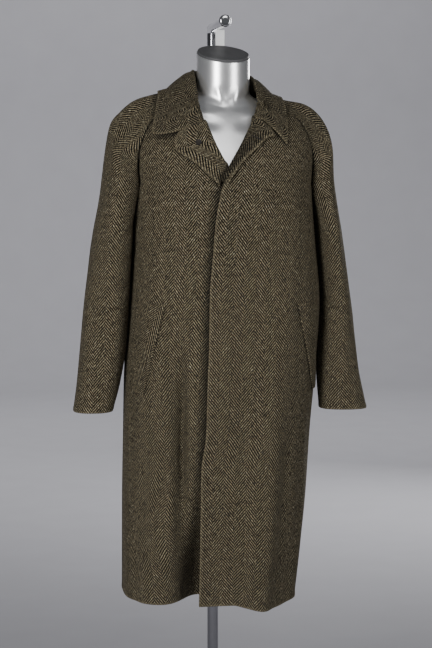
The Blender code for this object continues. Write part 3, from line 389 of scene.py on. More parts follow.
def crease_sum(creases: Sequence[Crease], round_at: Array, height: Array, scale: float) -> Array:
    """How far creases move the cloth out.

    Args:
        creases: The creases.
        round_at: Places round the piece, in the creases' own unit.
        height: Heights.
        scale: Metres for one unit round the piece.

    Returns:
        The shift at each place.
    """
    total = np.zeros(np.broadcast(round_at, height).shape)
    for (start, low), (end, high), width, depth in creases:
        across, up = round_at * scale - start * scale, height - low
        run = np.array([(end - start) * scale, high - low])
        length = float(np.hypot(*run))
        along = (across * run[0] + up * run[1]) / length ** 2
        aside = (across * run[1] - up * run[0]) / length / width
        taper = ease(np.minimum(along, 1 - along) * CREASE_ENDS)
        wave = bell(aside, 1.0) - CREASE_BESIDE * bell(aside, CREASE_SPREAD)
        total = total + depth * taper * wave
    return total


def fold_sum(folds: Sequence[Fold], angle: Array, z: Array) -> Array:
    """How far the large folds move the cloth out.

    Args:
        folds: The folds.
        angle: Degrees round the body.
        z: Heights.

    Returns:
        The shift at each place.
    """
    total = np.zeros(np.broadcast(angle, z).shape)
    for top, bottom, angle_top, angle_bottom, width, depth, peak in folds:
        part = np.clip((top - z) / (top - bottom), 0.0, 1.0)
        falling = ease((1 - part) / max(1 - peak, 1e-6))
        strength = np.where(part <= peak, ease(part / peak), falling)
        centre = angle_top + (angle_bottom - angle_top) * part
        total = total + depth * strength * bell(angle - centre, width)
    return total


@dataclass
class CoatShape:
    """The coat's outer surface, which all its panels share."""

    hem: float = 0.440
    underarm: float = 1.335
    front_top: float = 1.485
    back_top: float = 1.535
    cloth: float = 0.0025
    lie: float = 0.0009
    seam: float = 0.0005
    under: float = 0.0050
    under_run: float = 0.035
    under_plain: float = 1.5
    neck_corner: float = 0.070
    shoulder_y: float = 0.005
    armpit_turn: float = 130.0
    armpit_full: float = 1.9
    armpit_fade: float = 0.7
    seam_full: float = 1.25
    crest_full: float = 1.15
    ring_step: float = 0.7
    face_turn: float = 0.6
    face_rise: float = 0.004
    row_points: int = 181
    edges: dict[Side, Table] = field(init=False)

    def __post_init__(self) -> None:
        """Join each front's edge with the roll line of its lapel."""
        self.edges = {}
        for side, rows in FRONT_EDGES.items():
            rolls = tuple((row[2], row[1]) for row in reversed(LAPELS[side].rows))
            corner = ((self.front_top, side.value * self.neck_corner),)
            self.edges[side] = Table(("z", "x"), rows + rolls + corner)

    @staticmethod
    def sided(left: Array, word: str, z: Array) -> Array:
        """Sizes of the body on the wearer's left or right."""
        return np.where(left, BODY.at(f"{word}left", z), BODY.at(f"{word}right", z))

    def ring(self, angle: Array, z: Array) -> Array:
        """Points of the plain body ring.

        Args:
            angle: Degrees round the body: 0 front, 90 the wearer's left, 180 back.
            z: Heights.

        Returns:
            The points.
        """
        across, along = np.sin(np.radians(angle)), np.cos(np.radians(angle))
        left, fore = across > 0, along > 0
        width = self.sided(left, "", z)
        depth = np.where(fore, BODY.at("front", z), BODY.at("back", z))
        power = 2 / np.where(fore, self.sided(left, "square_", z), BODY.at("square_back", z))
        return point(width * signed_power(across, power), -depth * signed_power(along, power), z)

    def outward(self, angle: Array, z: Array) -> Array:
        """Level directions out of the ring."""
        along = self.ring(angle + self.ring_step, z) - self.ring(angle - self.ring_step, z)
        return unit(point(along[..., 1], -along[..., 0], 0.0))

    def turn(self, x: Array, z: Array, square: Array) -> Array:
        """Degrees from the ring's middle line at which it has these X."""
        part = (np.abs(x) / self.sided(np.asarray(x) > 0, "", z)) ** (square / 2)
        return np.sign(x) * np.degrees(np.arcsin(np.minimum(1.0, part)))

    def front_angle(self, x: Array, z: Array) -> Array:
        """Angles at which the front of the ring has these X."""
        return self.turn(x, z, self.sided(np.asarray(x) > 0, "square_", z))

    def back_angle(self, x: Array, z: Array) -> Array:
        """Angles at which the back of the ring has these X."""
        return 180.0 - self.turn(x, z, BODY.at("square_back", z))

    def seam_angle(self, half: Half, sign: int, part: float) -> float:
        """Angle of a raglan seam at a part of its way up."""
        find = self.front_angle if half is Half.FRONT else self.back_angle
        return float(find(sign * RAGLAN.at(f"{half.value}_x", part), RAGLAN.at(f"{half.value}_z", part)))

    def edge_x(self, side: Side, z: Array) -> Array:
        """X of a front's edge."""
        return self.edges[side].at("x", z)

    def moved(self, angle: Array, z: Array, folds: Sequence[Fold], creases: Sequence[Crease],
              shown: Any = 1.0, sunk: Any = 0.0) -> Array:
        """Points of the ring moved out by folds and creases.

        Args:
            angle: Degrees round the body.
            z: Heights.
            folds: The folds.
            creases: The creases.
            shown: How much of the creases shows.
            sunk: How far the cloth lies below the ring.

        Returns:
            The points.
        """
        shift = fold_sum(folds, angle, z) - sunk + crease_sum(creases, angle, z, DEGREE) * shown
        return self.ring(angle, z) + self.outward(angle, z) * shift[..., None]

    def right_face(self, angle: Array, z: Array) -> Array:
        """Outer face of the under front, which sinks below the over front's edge."""
        covered = (self.ring(angle, z)[..., 0] - self.edge_x(Side.LEFT, z)) / self.under_run + 1.0
        return self.moved(angle, z, RIGHT_FOLDS, RIGHT_CREASES, ease(self.under_plain - covered),
                          self.under * ease(covered))

    def left_face(self, angle: Array, z: Array) -> Array:
        """Outer face of the over front."""
        return self.moved(angle, z, LEFT_FOLDS, LEFT_CREASES)

    def back_face(self, angle: Array, z: Array) -> Array:
        """Outer face of the back."""
        return self.moved(angle, z, BACK_FOLDS, BACK_CREASES)

    def front_face(self, side: Side) -> Face:
        """The front's face on a side."""
        return self.left_face if side is Side.LEFT else self.right_face

    def normal(self, face: Face, angle: Array, z: Array) -> Array:
        """Normals of a face, out of the coat."""
        across = face(angle + self.face_turn, z) - face(angle - self.face_turn, z)
        return unit(np.cross(across, face(angle, z + self.face_rise) - face(angle, z - self.face_rise)))

    def row_angles(self, start: float, end: float, z: float, *places: Any) -> Array:
        """Angles along a row of the ring.

        Args:
            start: Angle of the row's start.
            end: Angle of its end.
            z: Its height.
            places: What the function spaced is given after the row's length.

        Returns:
            The angles at those places.
        """
        fine = np.linspace(start, end, self.row_points)
        length = lengths_along(self.ring(fine, np.full(fine.shape, z)))
        return np.interp(spaced(length[-1], *places), length, fine)

    def drawn_in(self, angle: float, towards: float, z: float, distance: float) -> float:
        """An angle moved along the ring.

        Args:
            angle: The angle.
            towards: The angle towards which it moves.
            z: Height of the ring.
            distance: How far it moves.

        Returns:
            The new angle.
        """
        step = math.copysign(1.0, towards - angle)
        pair = self.ring(np.array([angle, angle + step]), np.array([z, z]))
        return angle + step * distance / float(np.linalg.norm(pair[1] - pair[0]))

    def seam_ends(self, side: Side, part: Array) -> tuple[Array, Array, Array, Array, Array]:
        """The raglan seams on rows of the shoulder.

        Args:
            side: Side of the coat.
            part: Parts along the seam, from the underarm to the neck.

        Returns:
            Front points, top points, back points, and the directions in which the sleeve leaves them.
        """
        sign, word = side.value, side.word
        front_z, back_z = RAGLAN.at("front_z", part), RAGLAN.at("back_z", part)
        front_at = self.front_angle(sign * RAGLAN.at("front_x", part), front_z)
        back_at = self.back_angle(sign * RAGLAN.at("back_x", part), back_z)
        lift = np.where(part <= 0, self.lie, 0.0)[..., None]
        front = self.front_face(side)(front_at, front_z) + self.outward(front_at, front_z) * lift
        back = self.back_face(back_at, back_z) + self.outward(back_at, back_z) * lift
        top = point(sign * RAGLAN.at(f"top_{word}", part), self.shoulder_y, RAGLAN.at(f"top_{word}_z", part))
        turn = np.radians(self.armpit_turn) * (1 - ease(part / self.armpit_fade))[..., None]
        leaving = []
        for angle, height, way in ((front_at, front_z, sign), (back_at, back_z, -sign)):
            along = unit(self.ring(angle + way, height) - self.ring(angle, height))
            leaving.append(along * np.cos(turn) + self.outward(angle, height) * np.sin(turn))
        return front, top, back, leaving[0], leaving[1]

    def shoulder(self, side: Side, part: Array, t: Array) -> Array:
        """Points of the sleeve over the shoulder.

        Args:
            side: Side of the coat.
            part: Parts along the raglan seam.
            t: 0 at the front seam, 0.5 on top, 1 at the back seam.

        Returns:
            The points.
        """
        front, top, back, leave_front, leave_back = self.seam_ends(side, part)
        over = unit((back - front) * LEVEL)
        full = (1.0 + (self.armpit_full - 1.0) * (1 - ease(part / self.armpit_fade)))[..., None]
        reach = np.linalg.norm(top - front, axis=-1, keepdims=True) * full
        fore = hermite(front, top, leave_front * reach * self.seam_full, over * reach * self.crest_full,
                       np.clip(2 * t, 0, 1)[..., None])
        reach = np.linalg.norm(top - back, axis=-1, keepdims=True) * full
        aft = hermite(top, back, over * reach * self.crest_full, -leave_back * reach * self.seam_full,
                      np.clip(2 * t - 1, 0, 1)[..., None])
        return np.where((t <= 0.5)[..., None], fore, aft)


class Sock:
    """A value in a node tree that can be used in Python sums, each of which adds a Math node."""

    def __init__(self, nodes: "Nodes", socket: bpy.types.NodeSocket) -> None:
        """Keep the tree's nodes and the output socket."""
        self.nodes = nodes
        self.socket = socket

    def math(self, operation: str, *others: Any) -> "Sock":
        """A Math node on this value and others."""
        return self.nodes.maths(operation, self, *others)

    @staticmethod
    def operator(operation: str) -> tuple[Callable, Callable]:
        """An operator's method and its reflected form, for a number on the left."""
        return (lambda sock, other: sock.nodes.maths(operation, sock, other),
                lambda sock, other: sock.nodes.maths(operation, other, sock))

    __add__, __radd__ = operator("ADD")
    __sub__, __rsub__ = operator("SUBTRACT")
    __mul__, __rmul__ = operator("MULTIPLY")
    __truediv__, __rtruediv__ = operator("DIVIDE")


class Nodes:
    """The nodes of a tree, made and linked from Python values."""

    def __init__(self, tree: bpy.types.NodeTree) -> None:
        """Keep the tree's nodes and links."""
        self.nodes = tree.nodes
        self.links = tree.links

    @staticmethod
    def _socket(sockets: Any, key: Any) -> bpy.types.NodeSocket:
        """A socket by its place, identifier or name."""
        found = [s for place, s in enumerate(sockets) if key in (place, s.identifier)]
        return (found or [s for s in sockets if s.name == key])[0]

    def fill(self, node: bpy.types.Node, values: dict[Any, Any]) -> None:
        """Link or set the inputs of a node.

        Args:
            node: The node.
            values: Socket to a value, or to the Sock that feeds it.
        """
        for key, value in values.items():
            socket = self._socket(node.inputs, key)
            if isinstance(value, Sock):
                self.links.new(value.socket, socket)
            else:
                socket.default_value = value

    def make(self, kind: str, settings: dict[str, Any] | None = None,
             values: dict[Any, Any] | None = None, result: Any = 0) -> Sock:
        """A node of any kind.

        Args:
            kind: The node's type.
            settings: Its settings, which are set first.
            values: Its inputs.
            result: The output that is wanted.

        Returns:
            That output.
        """
        node = self.nodes.new(kind)
        for key, value in (settings or {}).items():
            setattr(node, key, value)
        self.fill(node, values or {})
        return Sock(self, self._socket(node.outputs, result))

    def maths(self, operation: str, *values: Any) -> Sock:
        """A Math node on some values."""
        return self.make("ShaderNodeMath", {"operation": operation}, dict(enumerate(values)))

    def vector(self, x: Any, y: Any, z: Any = 0.0) -> Sock:
        """A vector from its parts."""
        return self.make("ShaderNodeCombineXYZ", None, {"X": x, "Y": y, "Z": z})


class Graph(Nodes):
    """A material's node tree with a Principled shader at its end."""

    def __init__(self, name: str) -> None:
        """Start a material.

        Args:
            name: Name of the material.
        """
        self.material = bpy.data.materials.new(name)
        self.material.use_nodes = True
        super().__init__(self.material.node_tree)
        self.shader = self.nodes["Principled BSDF"]

    def mix(self, factor: Any, a: Any, b: Any, blend: str = "MIX") -> Sock:
        """A mix of two colours, with factor as the share of the second one."""
        a, b = ((*c, 1.0) if isinstance(c, tuple) else c for c in (a, b))
        return self.make("ShaderNodeMix", {"data_type": "RGBA", "blend_type": blend},
                         {"Factor_Float": factor, "A_Color": a, "B_Color": b}, "Result_Color")

    def noise(self, vector: Sock, scale: float, detail: float = 2.0, rough: float = 0.5) -> Sock:
        """Noise from 0 to 1."""
        values = {"Vector": vector, "Scale": scale, "Detail": detail, "Roughness": rough}
        return self.make("ShaderNodeTexNoise", {"noise_dimensions": "3D"}, values, "Fac")

    def step(self, value: Sock, low: float, high: float) -> Sock:
        """Soft step of a value from 0 at low to 1 at high."""
        values = {"Value": value, "From Min": low, "From Max": high}
        return self.make("ShaderNodeMapRange", {"interpolation_type": "SMOOTHSTEP"}, values)

    def bump(self, height: Sock, strength: float, distance: float) -> Sock:
        """Normals from a height."""
        values = {"Height": height, "Strength": strength, "Distance": distance}
        return self.make("ShaderNodeBump", None, values)

    def split(self, vector: Sock) -> list[Sock]:
        """The first two parts of a vector."""
        return [self.make("ShaderNodeSeparateXYZ", None, {0: vector}, axis) for axis in "XY"]

    def weave(self) -> list[Sock]:
        """Places on the cloth, and their lengths across and along the grain."""
        places = self.make("ShaderNodeUVMap", {"uv_map": "weave"})
        return [places, *self.split(places)]

    def objects(self) -> Sock:
        """Object coordinates."""
        return self.make("ShaderNodeTexCoord", None, None, "Object")

    def attribute(self, name: str) -> Sock:
        """A number that the mesh carries."""
        return self.make("ShaderNodeAttribute", {"attribute_name": name}, None, "Fac")

    def finish(self, **values: Any) -> Material:
        """Set the shader's inputs, with _ for spaces, and give the material."""
        self.fill(self.shader, {key.replace("_", " "): value for key, value in values.items()})
        return self.material


@dataclass(frozen=True)
class TweedFinish:
    """Herringbone tweed: slanted lines of tan and near black that turn back at each column."""

    column: float = 0.0240
    line: float = 0.0071
    slope: float = 1.22
    wobble_scale: float = 55.0
    shiver_scale: float = 420.0
    drift: float = 0.0010
    unrest: Pair = (0.30, 0.46)
    light_step: Pair = (0.54, 0.68)
    yarn_scale: Pair = (520.0, 90.0)
    tan_step: Pair = (0.28, 0.55)
    straw_step: Pair = (0.54, 0.76)
    brown_step: Pair = (0.54, 0.84)
    warp_scale: Pair = (330.0, 3.0)
    bar_scale: Pair = (38.0, 1.2)
    speck_scale: float = 520.0
    rust_step: Pair = (0.93, 0.96)
    slate_step: Pair = (0.94, 0.97)
    speck_share: float = 0.45
    worn_edge: float = 0.20
    dark_seam: float = 0.85
    fuzz_scale: float = 1500.0
    bump: Pair = (0.55, 0.0007)
    dark: Triple = (0.0030, 0.0028, 0.0024)
    brown: Triple = (0.044, 0.035, 0.020)
    tan: Triple = (0.330, 0.279, 0.174)
    straw: Triple = (0.640, 0.596, 0.440)
    rust: Triple = (0.075, 0.036, 0.018)
    slate: Triple = (0.030, 0.034, 0.040)

    def build(self) -> Material:
        """Make the material.

        Returns:
            The material, which reads the map named weave, the number named edge (wear and painted highlight)
            and the number named seam (dark seams and painted shade).
        """
        g = Graph("tweed")
        uv, u, v = g.weave()
        wobble = g.noise(uv, self.wobble_scale, 2.0) - 0.5
        shiver = g.noise(uv, self.shiver_scale, 1.0) - 0.5
        across = u + wobble * self.drift
        turn_back = across.math("PINGPONG", self.column)
        second = (across / (2 * self.column)).math("FRACT").math("GREATER_THAN", 0.5)
        phase = (v + turn_back * self.slope) / self.line + second * 0.5
        phase = phase + wobble * self.unrest[0] + shiver * self.unrest[1]
        light = g.step(phase.math("PINGPONG", 0.5) * 2.0, *self.light_step)
        yarn = g.noise(g.vector(u * self.yarn_scale[0], v * self.yarn_scale[1]), 1.0, 2.0)
        warp = g.noise(g.vector(u * self.warp_scale[0], v * self.warp_scale[1]), 1.0, 1.0)
        bars = g.noise(g.vector(u * self.bar_scale[0], v * self.bar_scale[1]), 1.0, 2.0)
        lit = g.mix(g.step(yarn, *self.tan_step), self.brown, self.tan)
        lit = g.mix(g.step(yarn, *self.straw_step), lit, self.straw)
        deep = g.mix(g.step(yarn, *self.brown_step), self.dark, self.brown)
        cloth = g.mix(light, deep, lit)
        specks = {"Vector": uv, "Scale": self.speck_scale}
        hue, glow = g.split(g.make("ShaderNodeTexVoronoi", {"feature": "F1"}, specks, "Color"))
        cloth = g.mix(g.step(hue, *self.rust_step) * self.speck_share, cloth, self.rust)
        cloth = g.mix(g.step(1.0 - hue, *self.slate_step) * self.speck_share, cloth, self.slate)
        shade = (0.56 + glow * 0.88) * (0.40 + warp * 0.32 + bars * 0.38)
        cloth = g.mix(1.0, cloth, g.vector(shade, shade, shade), "MULTIPLY")
        # Free edges go towards tan: partly rubbed wear, partly a painted highlight where rolled edges catch
        # the light.
        cloth = g.mix(g.attribute("edge") * self.worn_edge, cloth, self.tan)
        # Towards near black by the number named seam: real dark seam lines, plus painted shade beside
        # laid-over edges, on the left lapel and over the collar.
        cloth = g.mix(g.attribute("seam") * self.dark_seam, cloth, self.dark)
        height = light * 0.55 + g.noise(uv, self.fuzz_scale, 2.0) * 0.45 + yarn * 0.25
        return g.finish(
            Base_Color=cloth,
            Roughness=0.98 - light * 0.10,
            Specular_IOR_Level=0.18,
            Sheen_Weight=0.05,
            Sheen_Roughness=0.55,
            Sheen_Tint=(0.62, 0.52, 0.38, 1.0),
            Normal=g.bump(height, *self.bump),
        )


@dataclass(frozen=True)
class LiningFinish:
    """Dark brown satin lining with a fine twill."""

    colour: Triple = (0.020, 0.014, 0.009)
    lighter: Triple = (0.036, 0.026, 0.017)
    rib: float = 0.0012
    cloud: float = 30.0
    bump: Pair = (0.2, 0.0002)

    def build(self) -> Material:
        """Make the material.

        Returns:
            The material, which reads the map named weave.
        """
        g = Graph("lining")
        uv, u, v = g.weave()
        rib = ((u + v) / self.rib).math("PINGPONG", 0.5) * 2.0
        tone = g.noise(uv, self.cloud, 3.0) * 0.6 + rib * 0.4
        return g.finish(
            Base_Color=g.mix(tone, self.colour, self.lighter),
            Roughness=0.42 + rib * 0.12,
            Normal=g.bump(rib, *self.bump),
        )


@dataclass(frozen=True)
class MetalFinish:
    """A metal or metal-coated surface with fine marks that run one way or lie all over."""

    name: str
    colour: Triple
    shade: Triple
    metal: float
    rough: float
    spread: float
    grain: Triple
    relief: float
    cloud: float = 9.0
    bump: float = 0.25

    def build(self) -> Material:
        """Make the material.

        Returns:
            The material.
        """
        g = Graph(self.name)
        at = g.objects()
        stretched = g.make("ShaderNodeMapping", None, {"Vector": at, "Scale": self.grain})
        marks = g.noise(stretched, 1.0, 3.0, 0.6)
        cloud = g.noise(at, self.cloud, 3.0)
        return g.finish(
            Base_Color=g.mix(g.step(marks * 0.6 + cloud * 0.4, 0.30, 0.70), self.shade, self.colour),
            Metallic=self.metal,
            Roughness=self.rough + (marks - 0.5) * self.spread + (cloud - 0.5) * self.spread,
            Normal=g.bump(marks, self.bump, self.relief),
        )


@dataclass(frozen=True)
class PlainFinish:
    """Plastic, horn or thread: a colour clouded with a second one, and a fine grain."""

    name: str
    colour: Triple
    second: Triple
    rough: float
    cloud: float
    grain: float
    relief: float
    spread: float = 0.18
    bump: float = 0.3

    def build(self) -> Material:
        """Make the material.

        Returns:
            The material.
        """
        g = Graph(self.name)
        at = g.objects()
        clouds = g.noise(at, self.cloud, 3.0, 0.6)
        grain = g.noise(at, self.grain, 2.0)
        return g.finish(
            Base_Color=g.mix(g.step(clouds, 0.35, 0.68), self.colour, self.second),
            Roughness=self.rough + (grain - 0.5) * self.spread,
            Normal=g.bump(grain, self.bump, self.relief),
        )


SILVER = MetalFinish("silver_lacquer", (0.94, 0.94, 0.94), (0.90, 0.90, 0.90), 0.85, 0.30, 0.04,
                     (300.0, 300.0, 60.0), 0.00002)
CHROME = MetalFinish("polished_chrome", (0.84, 0.84, 0.85), (0.76, 0.76, 0.78), 1.0, 0.12, 0.05,
                     (60.0, 60.0, 60.0), 0.00002)
# A darker copy of the chrome for the pole: painted shade for the dark reflections along the real pole.
SHADED_CHROME = MetalFinish("dull_chrome", (0.40, 0.40, 0.42), (0.33, 0.33, 0.35), 1.0, 0.10, 0.05,
                   (60.0, 60.0, 4.0), 0.00002)
STEEL = MetalFinish("brushed_steel", (0.50, 0.50, 0.51), (0.40, 0.40, 0.41), 1.0, 0.36, 0.14,
                    (40.0, 1400.0, 40.0), 0.00006)
ENAMEL = PlainFinish("white_enamel", (0.97, 0.97, 0.97), (0.94, 0.94, 0.93), 0.32, 40.0, 900.0, 0.00004)
CAP = PlainFinish("dark_cap", (0.085, 0.085, 0.088), (0.106, 0.106, 0.109), 0.50, 28.0, 1600.0, 0.00006)
GIMP = PlainFinish("dark_gimp", (0.006, 0.005, 0.004), (0.012, 0.010, 0.007), 0.80, 500.0, 4000.0, 0.0001)
HORN = PlainFinish("dark_horn", (0.005, 0.004, 0.003), (0.014, 0.009, 0.006), 0.52, 260.0, 900.0, 0.00004)
THREAD = PlainFinish("brown_thread", (0.030, 0.024, 0.016), (0.055, 0.044, 0.028), 0.80, 500.0, 4000.0,
                     0.0001)


@dataclass
class ClothSheet:
    """A piece of cloth on a grid: its outer points, its cells, its free borders and its grain."""

    name: str
    points: Array
    cells: Array
    free: Array
    weave: Array
    flip: bool = False
    thickness: float = 0.0025
    lined: bool = False
    shift: Array | None = None
    seam_dip: float = 0.0011
    seam_run: float = 0.0036
    fold_swell: float = 0.0006
    fold_at: float = 0.0055
    fold_run: float = 0.0040
    stitch_dip: float = 0.0
    stitch_at: float = 0.0075
    stitch_run: float = 0.0016
    # How far the tan edge tint fades from a free border: rubbed wear and a painted highlight on the rolled
    # edge.
    worn_run: float = 0.0030
    dark_run: float = 0.0020
    rim: float = 0.42
    # A painted shade laid over the whole sheet, darkening it as if it faced away from the light.
    nap: float = 0.0
    quads: Array = field(init=False)
    border: Array = field(init=False)
    normals: Array = field(init=False)
    # Wear and painted highlight along free borders.
    edge: Array = field(init=False)
    # Dark seam lines, plus painted shade under edges that lie over the sheet and over whole sheets.
    seam: Array = field(init=False)

    def __post_init__(self) -> None:
        """Work out the cells, shape the borders and leave the final points and normals."""
        rows, columns = self.points.shape[:2]
        index = np.arange(rows * columns).reshape(rows, columns)
        corners = (index[:-1, :-1], index[:-1, 1:], index[1:, 1:], index[1:, :-1])
        quads = np.stack(corners, axis=-1)[self.cells]
        self.quads = quads[:, ::-1] if self.flip else quads
        flat = self.points.reshape(-1, 3)
        if self.shift is not None:
            flat = flat + self._normals(flat) * self.shift.reshape(-1, 1)
        self.border = self._border(len(flat))
        starts = np.unique(self.border)
        loose = self.free.reshape(-1)[starts]
        to_free = self._distance(flat, starts[loose])
        to_seam = self._distance(flat, starts[~loose])
        # edge tints free borders towards tan, as rubbed wear and as a painted highlight; seam holds the dark
        # seam lines, raised everywhere by a sheet-wide painted shade.
        self.edge = bell(to_free, self.worn_run)
        self.seam = np.maximum(bell(to_seam, self.dark_run), self.nap)
        lift = self.fold_swell * bell(to_free - self.fold_at, self.fold_run)
        lift = lift - self.seam_dip * bell(to_seam, self.seam_run)
        lift = lift - self.stitch_dip * bell(to_free - self.stitch_at, self.stitch_run)
        flat = flat + self._normals(flat) * lift[:, None]
        self.normals = self._normals(flat)
        self.points = flat.reshape(rows, columns, 3)

    def _normals(self, flat: Array) -> Array:
        """Normals at the points from the cells round them.

        Args:
            flat: The points in one row.

        Returns:
            The normals.
        """
        a, b, c, d = (flat[self.quads[:, i]] for i in range(4))
        across = np.cross(c - a, d - b)
        total = np.zeros_like(flat)
        for i in range(4):
            np.add.at(total, self.quads[:, i], across)
        return unit(total)

    def _border(self, count: int) -> Array:
        """Directed border edges of the sheet, as pairs of its points."""
        pairs = np.concatenate([self.quads[:, [i, (i + 1) % 4]] for i in range(4)])
        return pairs[~np.isin(pairs @ (count, 1), pairs @ (1, count))]

    @staticmethod
    def _distance(flat: Array, members: Array) -> Array:
        """Distance of every point to the nearest of some members.

        Args:
            flat: The points in one row.
            members: Places of the members in that row.

        Returns:
            The distances, which are long where there are no members.
        """
        if len(members) == 0:
            return np.full(len(flat), 1.0)
        tree = KDTree(len(members))
        for place, member in enumerate(members):
            tree.insert(flat[member], place)
        tree.balance()
        return np.array([tree.find(p)[2] for p in flat])

    def shaded_by(self, tree: BVHTree, reach: float) -> None:
        """Paint shade into the cloth close to an edge that lies over it.

        Args:
            tree: The sheets that lie over this one.
            reach: How far from them the shade fades.
        """
        flat = self.points.reshape(-1, 3)
        for place in np.unique(self.quads):
            gap = tree.find_nearest(flat[place], 3 * reach)[3]
            if gap is not None:
                self.seam[place] = max(self.seam[place], bell(gap, reach))

    def build(self, tweed: Material, lining: Material) -> Object:
        """Make the closed sheet, with rounded borders.

        Args:
            tweed: Material of the outside.
            lining: Material of the inside, where the sheet is lined.

        Returns:
            The object.
        """
        flat, weave = self.points.reshape(-1, 3), self.weave.reshape(-1, 2)
        used = np.unique(self.quads)
        place = np.full(len(flat), -1)
        place[used] = np.arange(len(used))
        quads, border = place[self.quads], place[self.border]
        outer, normals = flat[used], self.normals[used]
        inner = outer - normals * self.thickness
        count = len(used)
        a, b = border[:, 0], border[:, 1]
        away = np.zeros_like(outer)
        run = unit(np.cross(outer[b] - outer[a], normals[a]))
        np.add.at(away, a, run)
        np.add.at(away, b, run)
        rims = np.unique(border)
        rim_points = (outer[rims] + inner[rims]) / 2 + unit(away[rims]) * self.thickness * self.rim
        rim_place = np.full(count, -1)
        rim_place[rims] = 2 * count + np.arange(len(rims))
        over = np.stack((b, a, rim_place[a], rim_place[b]), axis=1)
        below = np.stack((rim_place[b], rim_place[a], a + count, b + count), axis=1)
        faces = np.concatenate((quads, quads[:, ::-1] + count, over, below))
        vertices = np.concatenate((outer, inner, rim_points))
        carried = np.concatenate((used, used, used[rims]))
        mesh = bpy.data.meshes.new(self.name)
        mesh.from_pydata(vertices.tolist(), [], faces.tolist())
        mesh.shade_smooth()
        mesh.materials.append(tweed)
        if self.lined:
            mesh.materials.append(lining)
            inside = np.zeros(len(faces), np.int32)
            inside[len(quads):2 * len(quads)] = 1
            mesh.polygons.foreach_set("material_index", inside)
        chart = mesh.uv_layers.new(name="weave")
        chart.data.foreach_set("uv", weave[carried][faces.reshape(-1)].reshape(-1))
        for word, values in (("edge", self.edge), ("seam", self.seam)):
            kept = mesh.attributes.new(word, "FLOAT", "POINT")
            kept.data.foreach_set("value", values[carried].astype(np.float32))
        return link(self.name, mesh)


def search_tree(*sheets: ClothSheet) -> BVHTree:
    """A search tree over the outer faces of some sheets.

    Args:
        sheets: The sheets.

    Returns:
        The tree.
    """
    points, faces = [], []
    for sheet in sheets:
        faces += (sheet.quads + sum(len(p) for p in points)).tolist()
        points.append(sheet.points.reshape(-1, 3))
    return BVHTree.FromPolygons(np.concatenate(points).tolist(), faces)


def link(name: str, data: bpy.types.ID) -> Object:
    """Put a mesh, a light or a camera into the scene.

    Args:
        name: Name of the object.
        data: What it holds.

    Returns:
        The object.
    """
    made = bpy.data.objects.new(name, data)
    bpy.context.scene.collection.objects.link(made)
    return made


def placed(piece: Object, slot: str, *nodes: str) -> Object:
    """Let a piece ride with the part and stand for solids.

    Args:
        piece: The piece.
        slot: The record's material slot; not used.
        nodes: The solids it stands for.

    Returns:
        The piece.
    """
    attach(piece, BODY_NAME)
    if nodes:
        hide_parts(*nodes)
    LOG.info("%s: %d faces", piece.name, len(piece.data.polygons))
    return piece


def panel_weave(points: Array, origin: int, columns: slice, turn: float = 0.0) -> Array:
    """Lay the weave on a grid: lengths along the rows and up the columns.

    Args:
        points: The grid.
        origin: Column from which lengths along a row are counted.
        columns: Columns whose mean length gives the way up.
        turn: Degrees by which the grain is turned.

    Returns:
        Two lengths in metres at each point.
    """
    steps = np.linalg.norm(np.diff(points, axis=1), axis=2)
    across = np.concatenate((np.zeros((len(points), 1)), np.cumsum(steps, axis=1)), axis=1)
    across = across - across[:, origin:origin + 1]
    rises = np.linalg.norm(np.diff(points[:, columns], axis=0), axis=2).mean(axis=1)
    up = np.concatenate(([0.0], np.cumsum(rises)))[:, None] + np.zeros_like(across)
    way = math.radians(turn)
    turned_u = across * math.cos(way) - up * math.sin(way)
    return np.stack((turned_u, across * math.sin(way) + up * math.cos(way)), axis=-1)


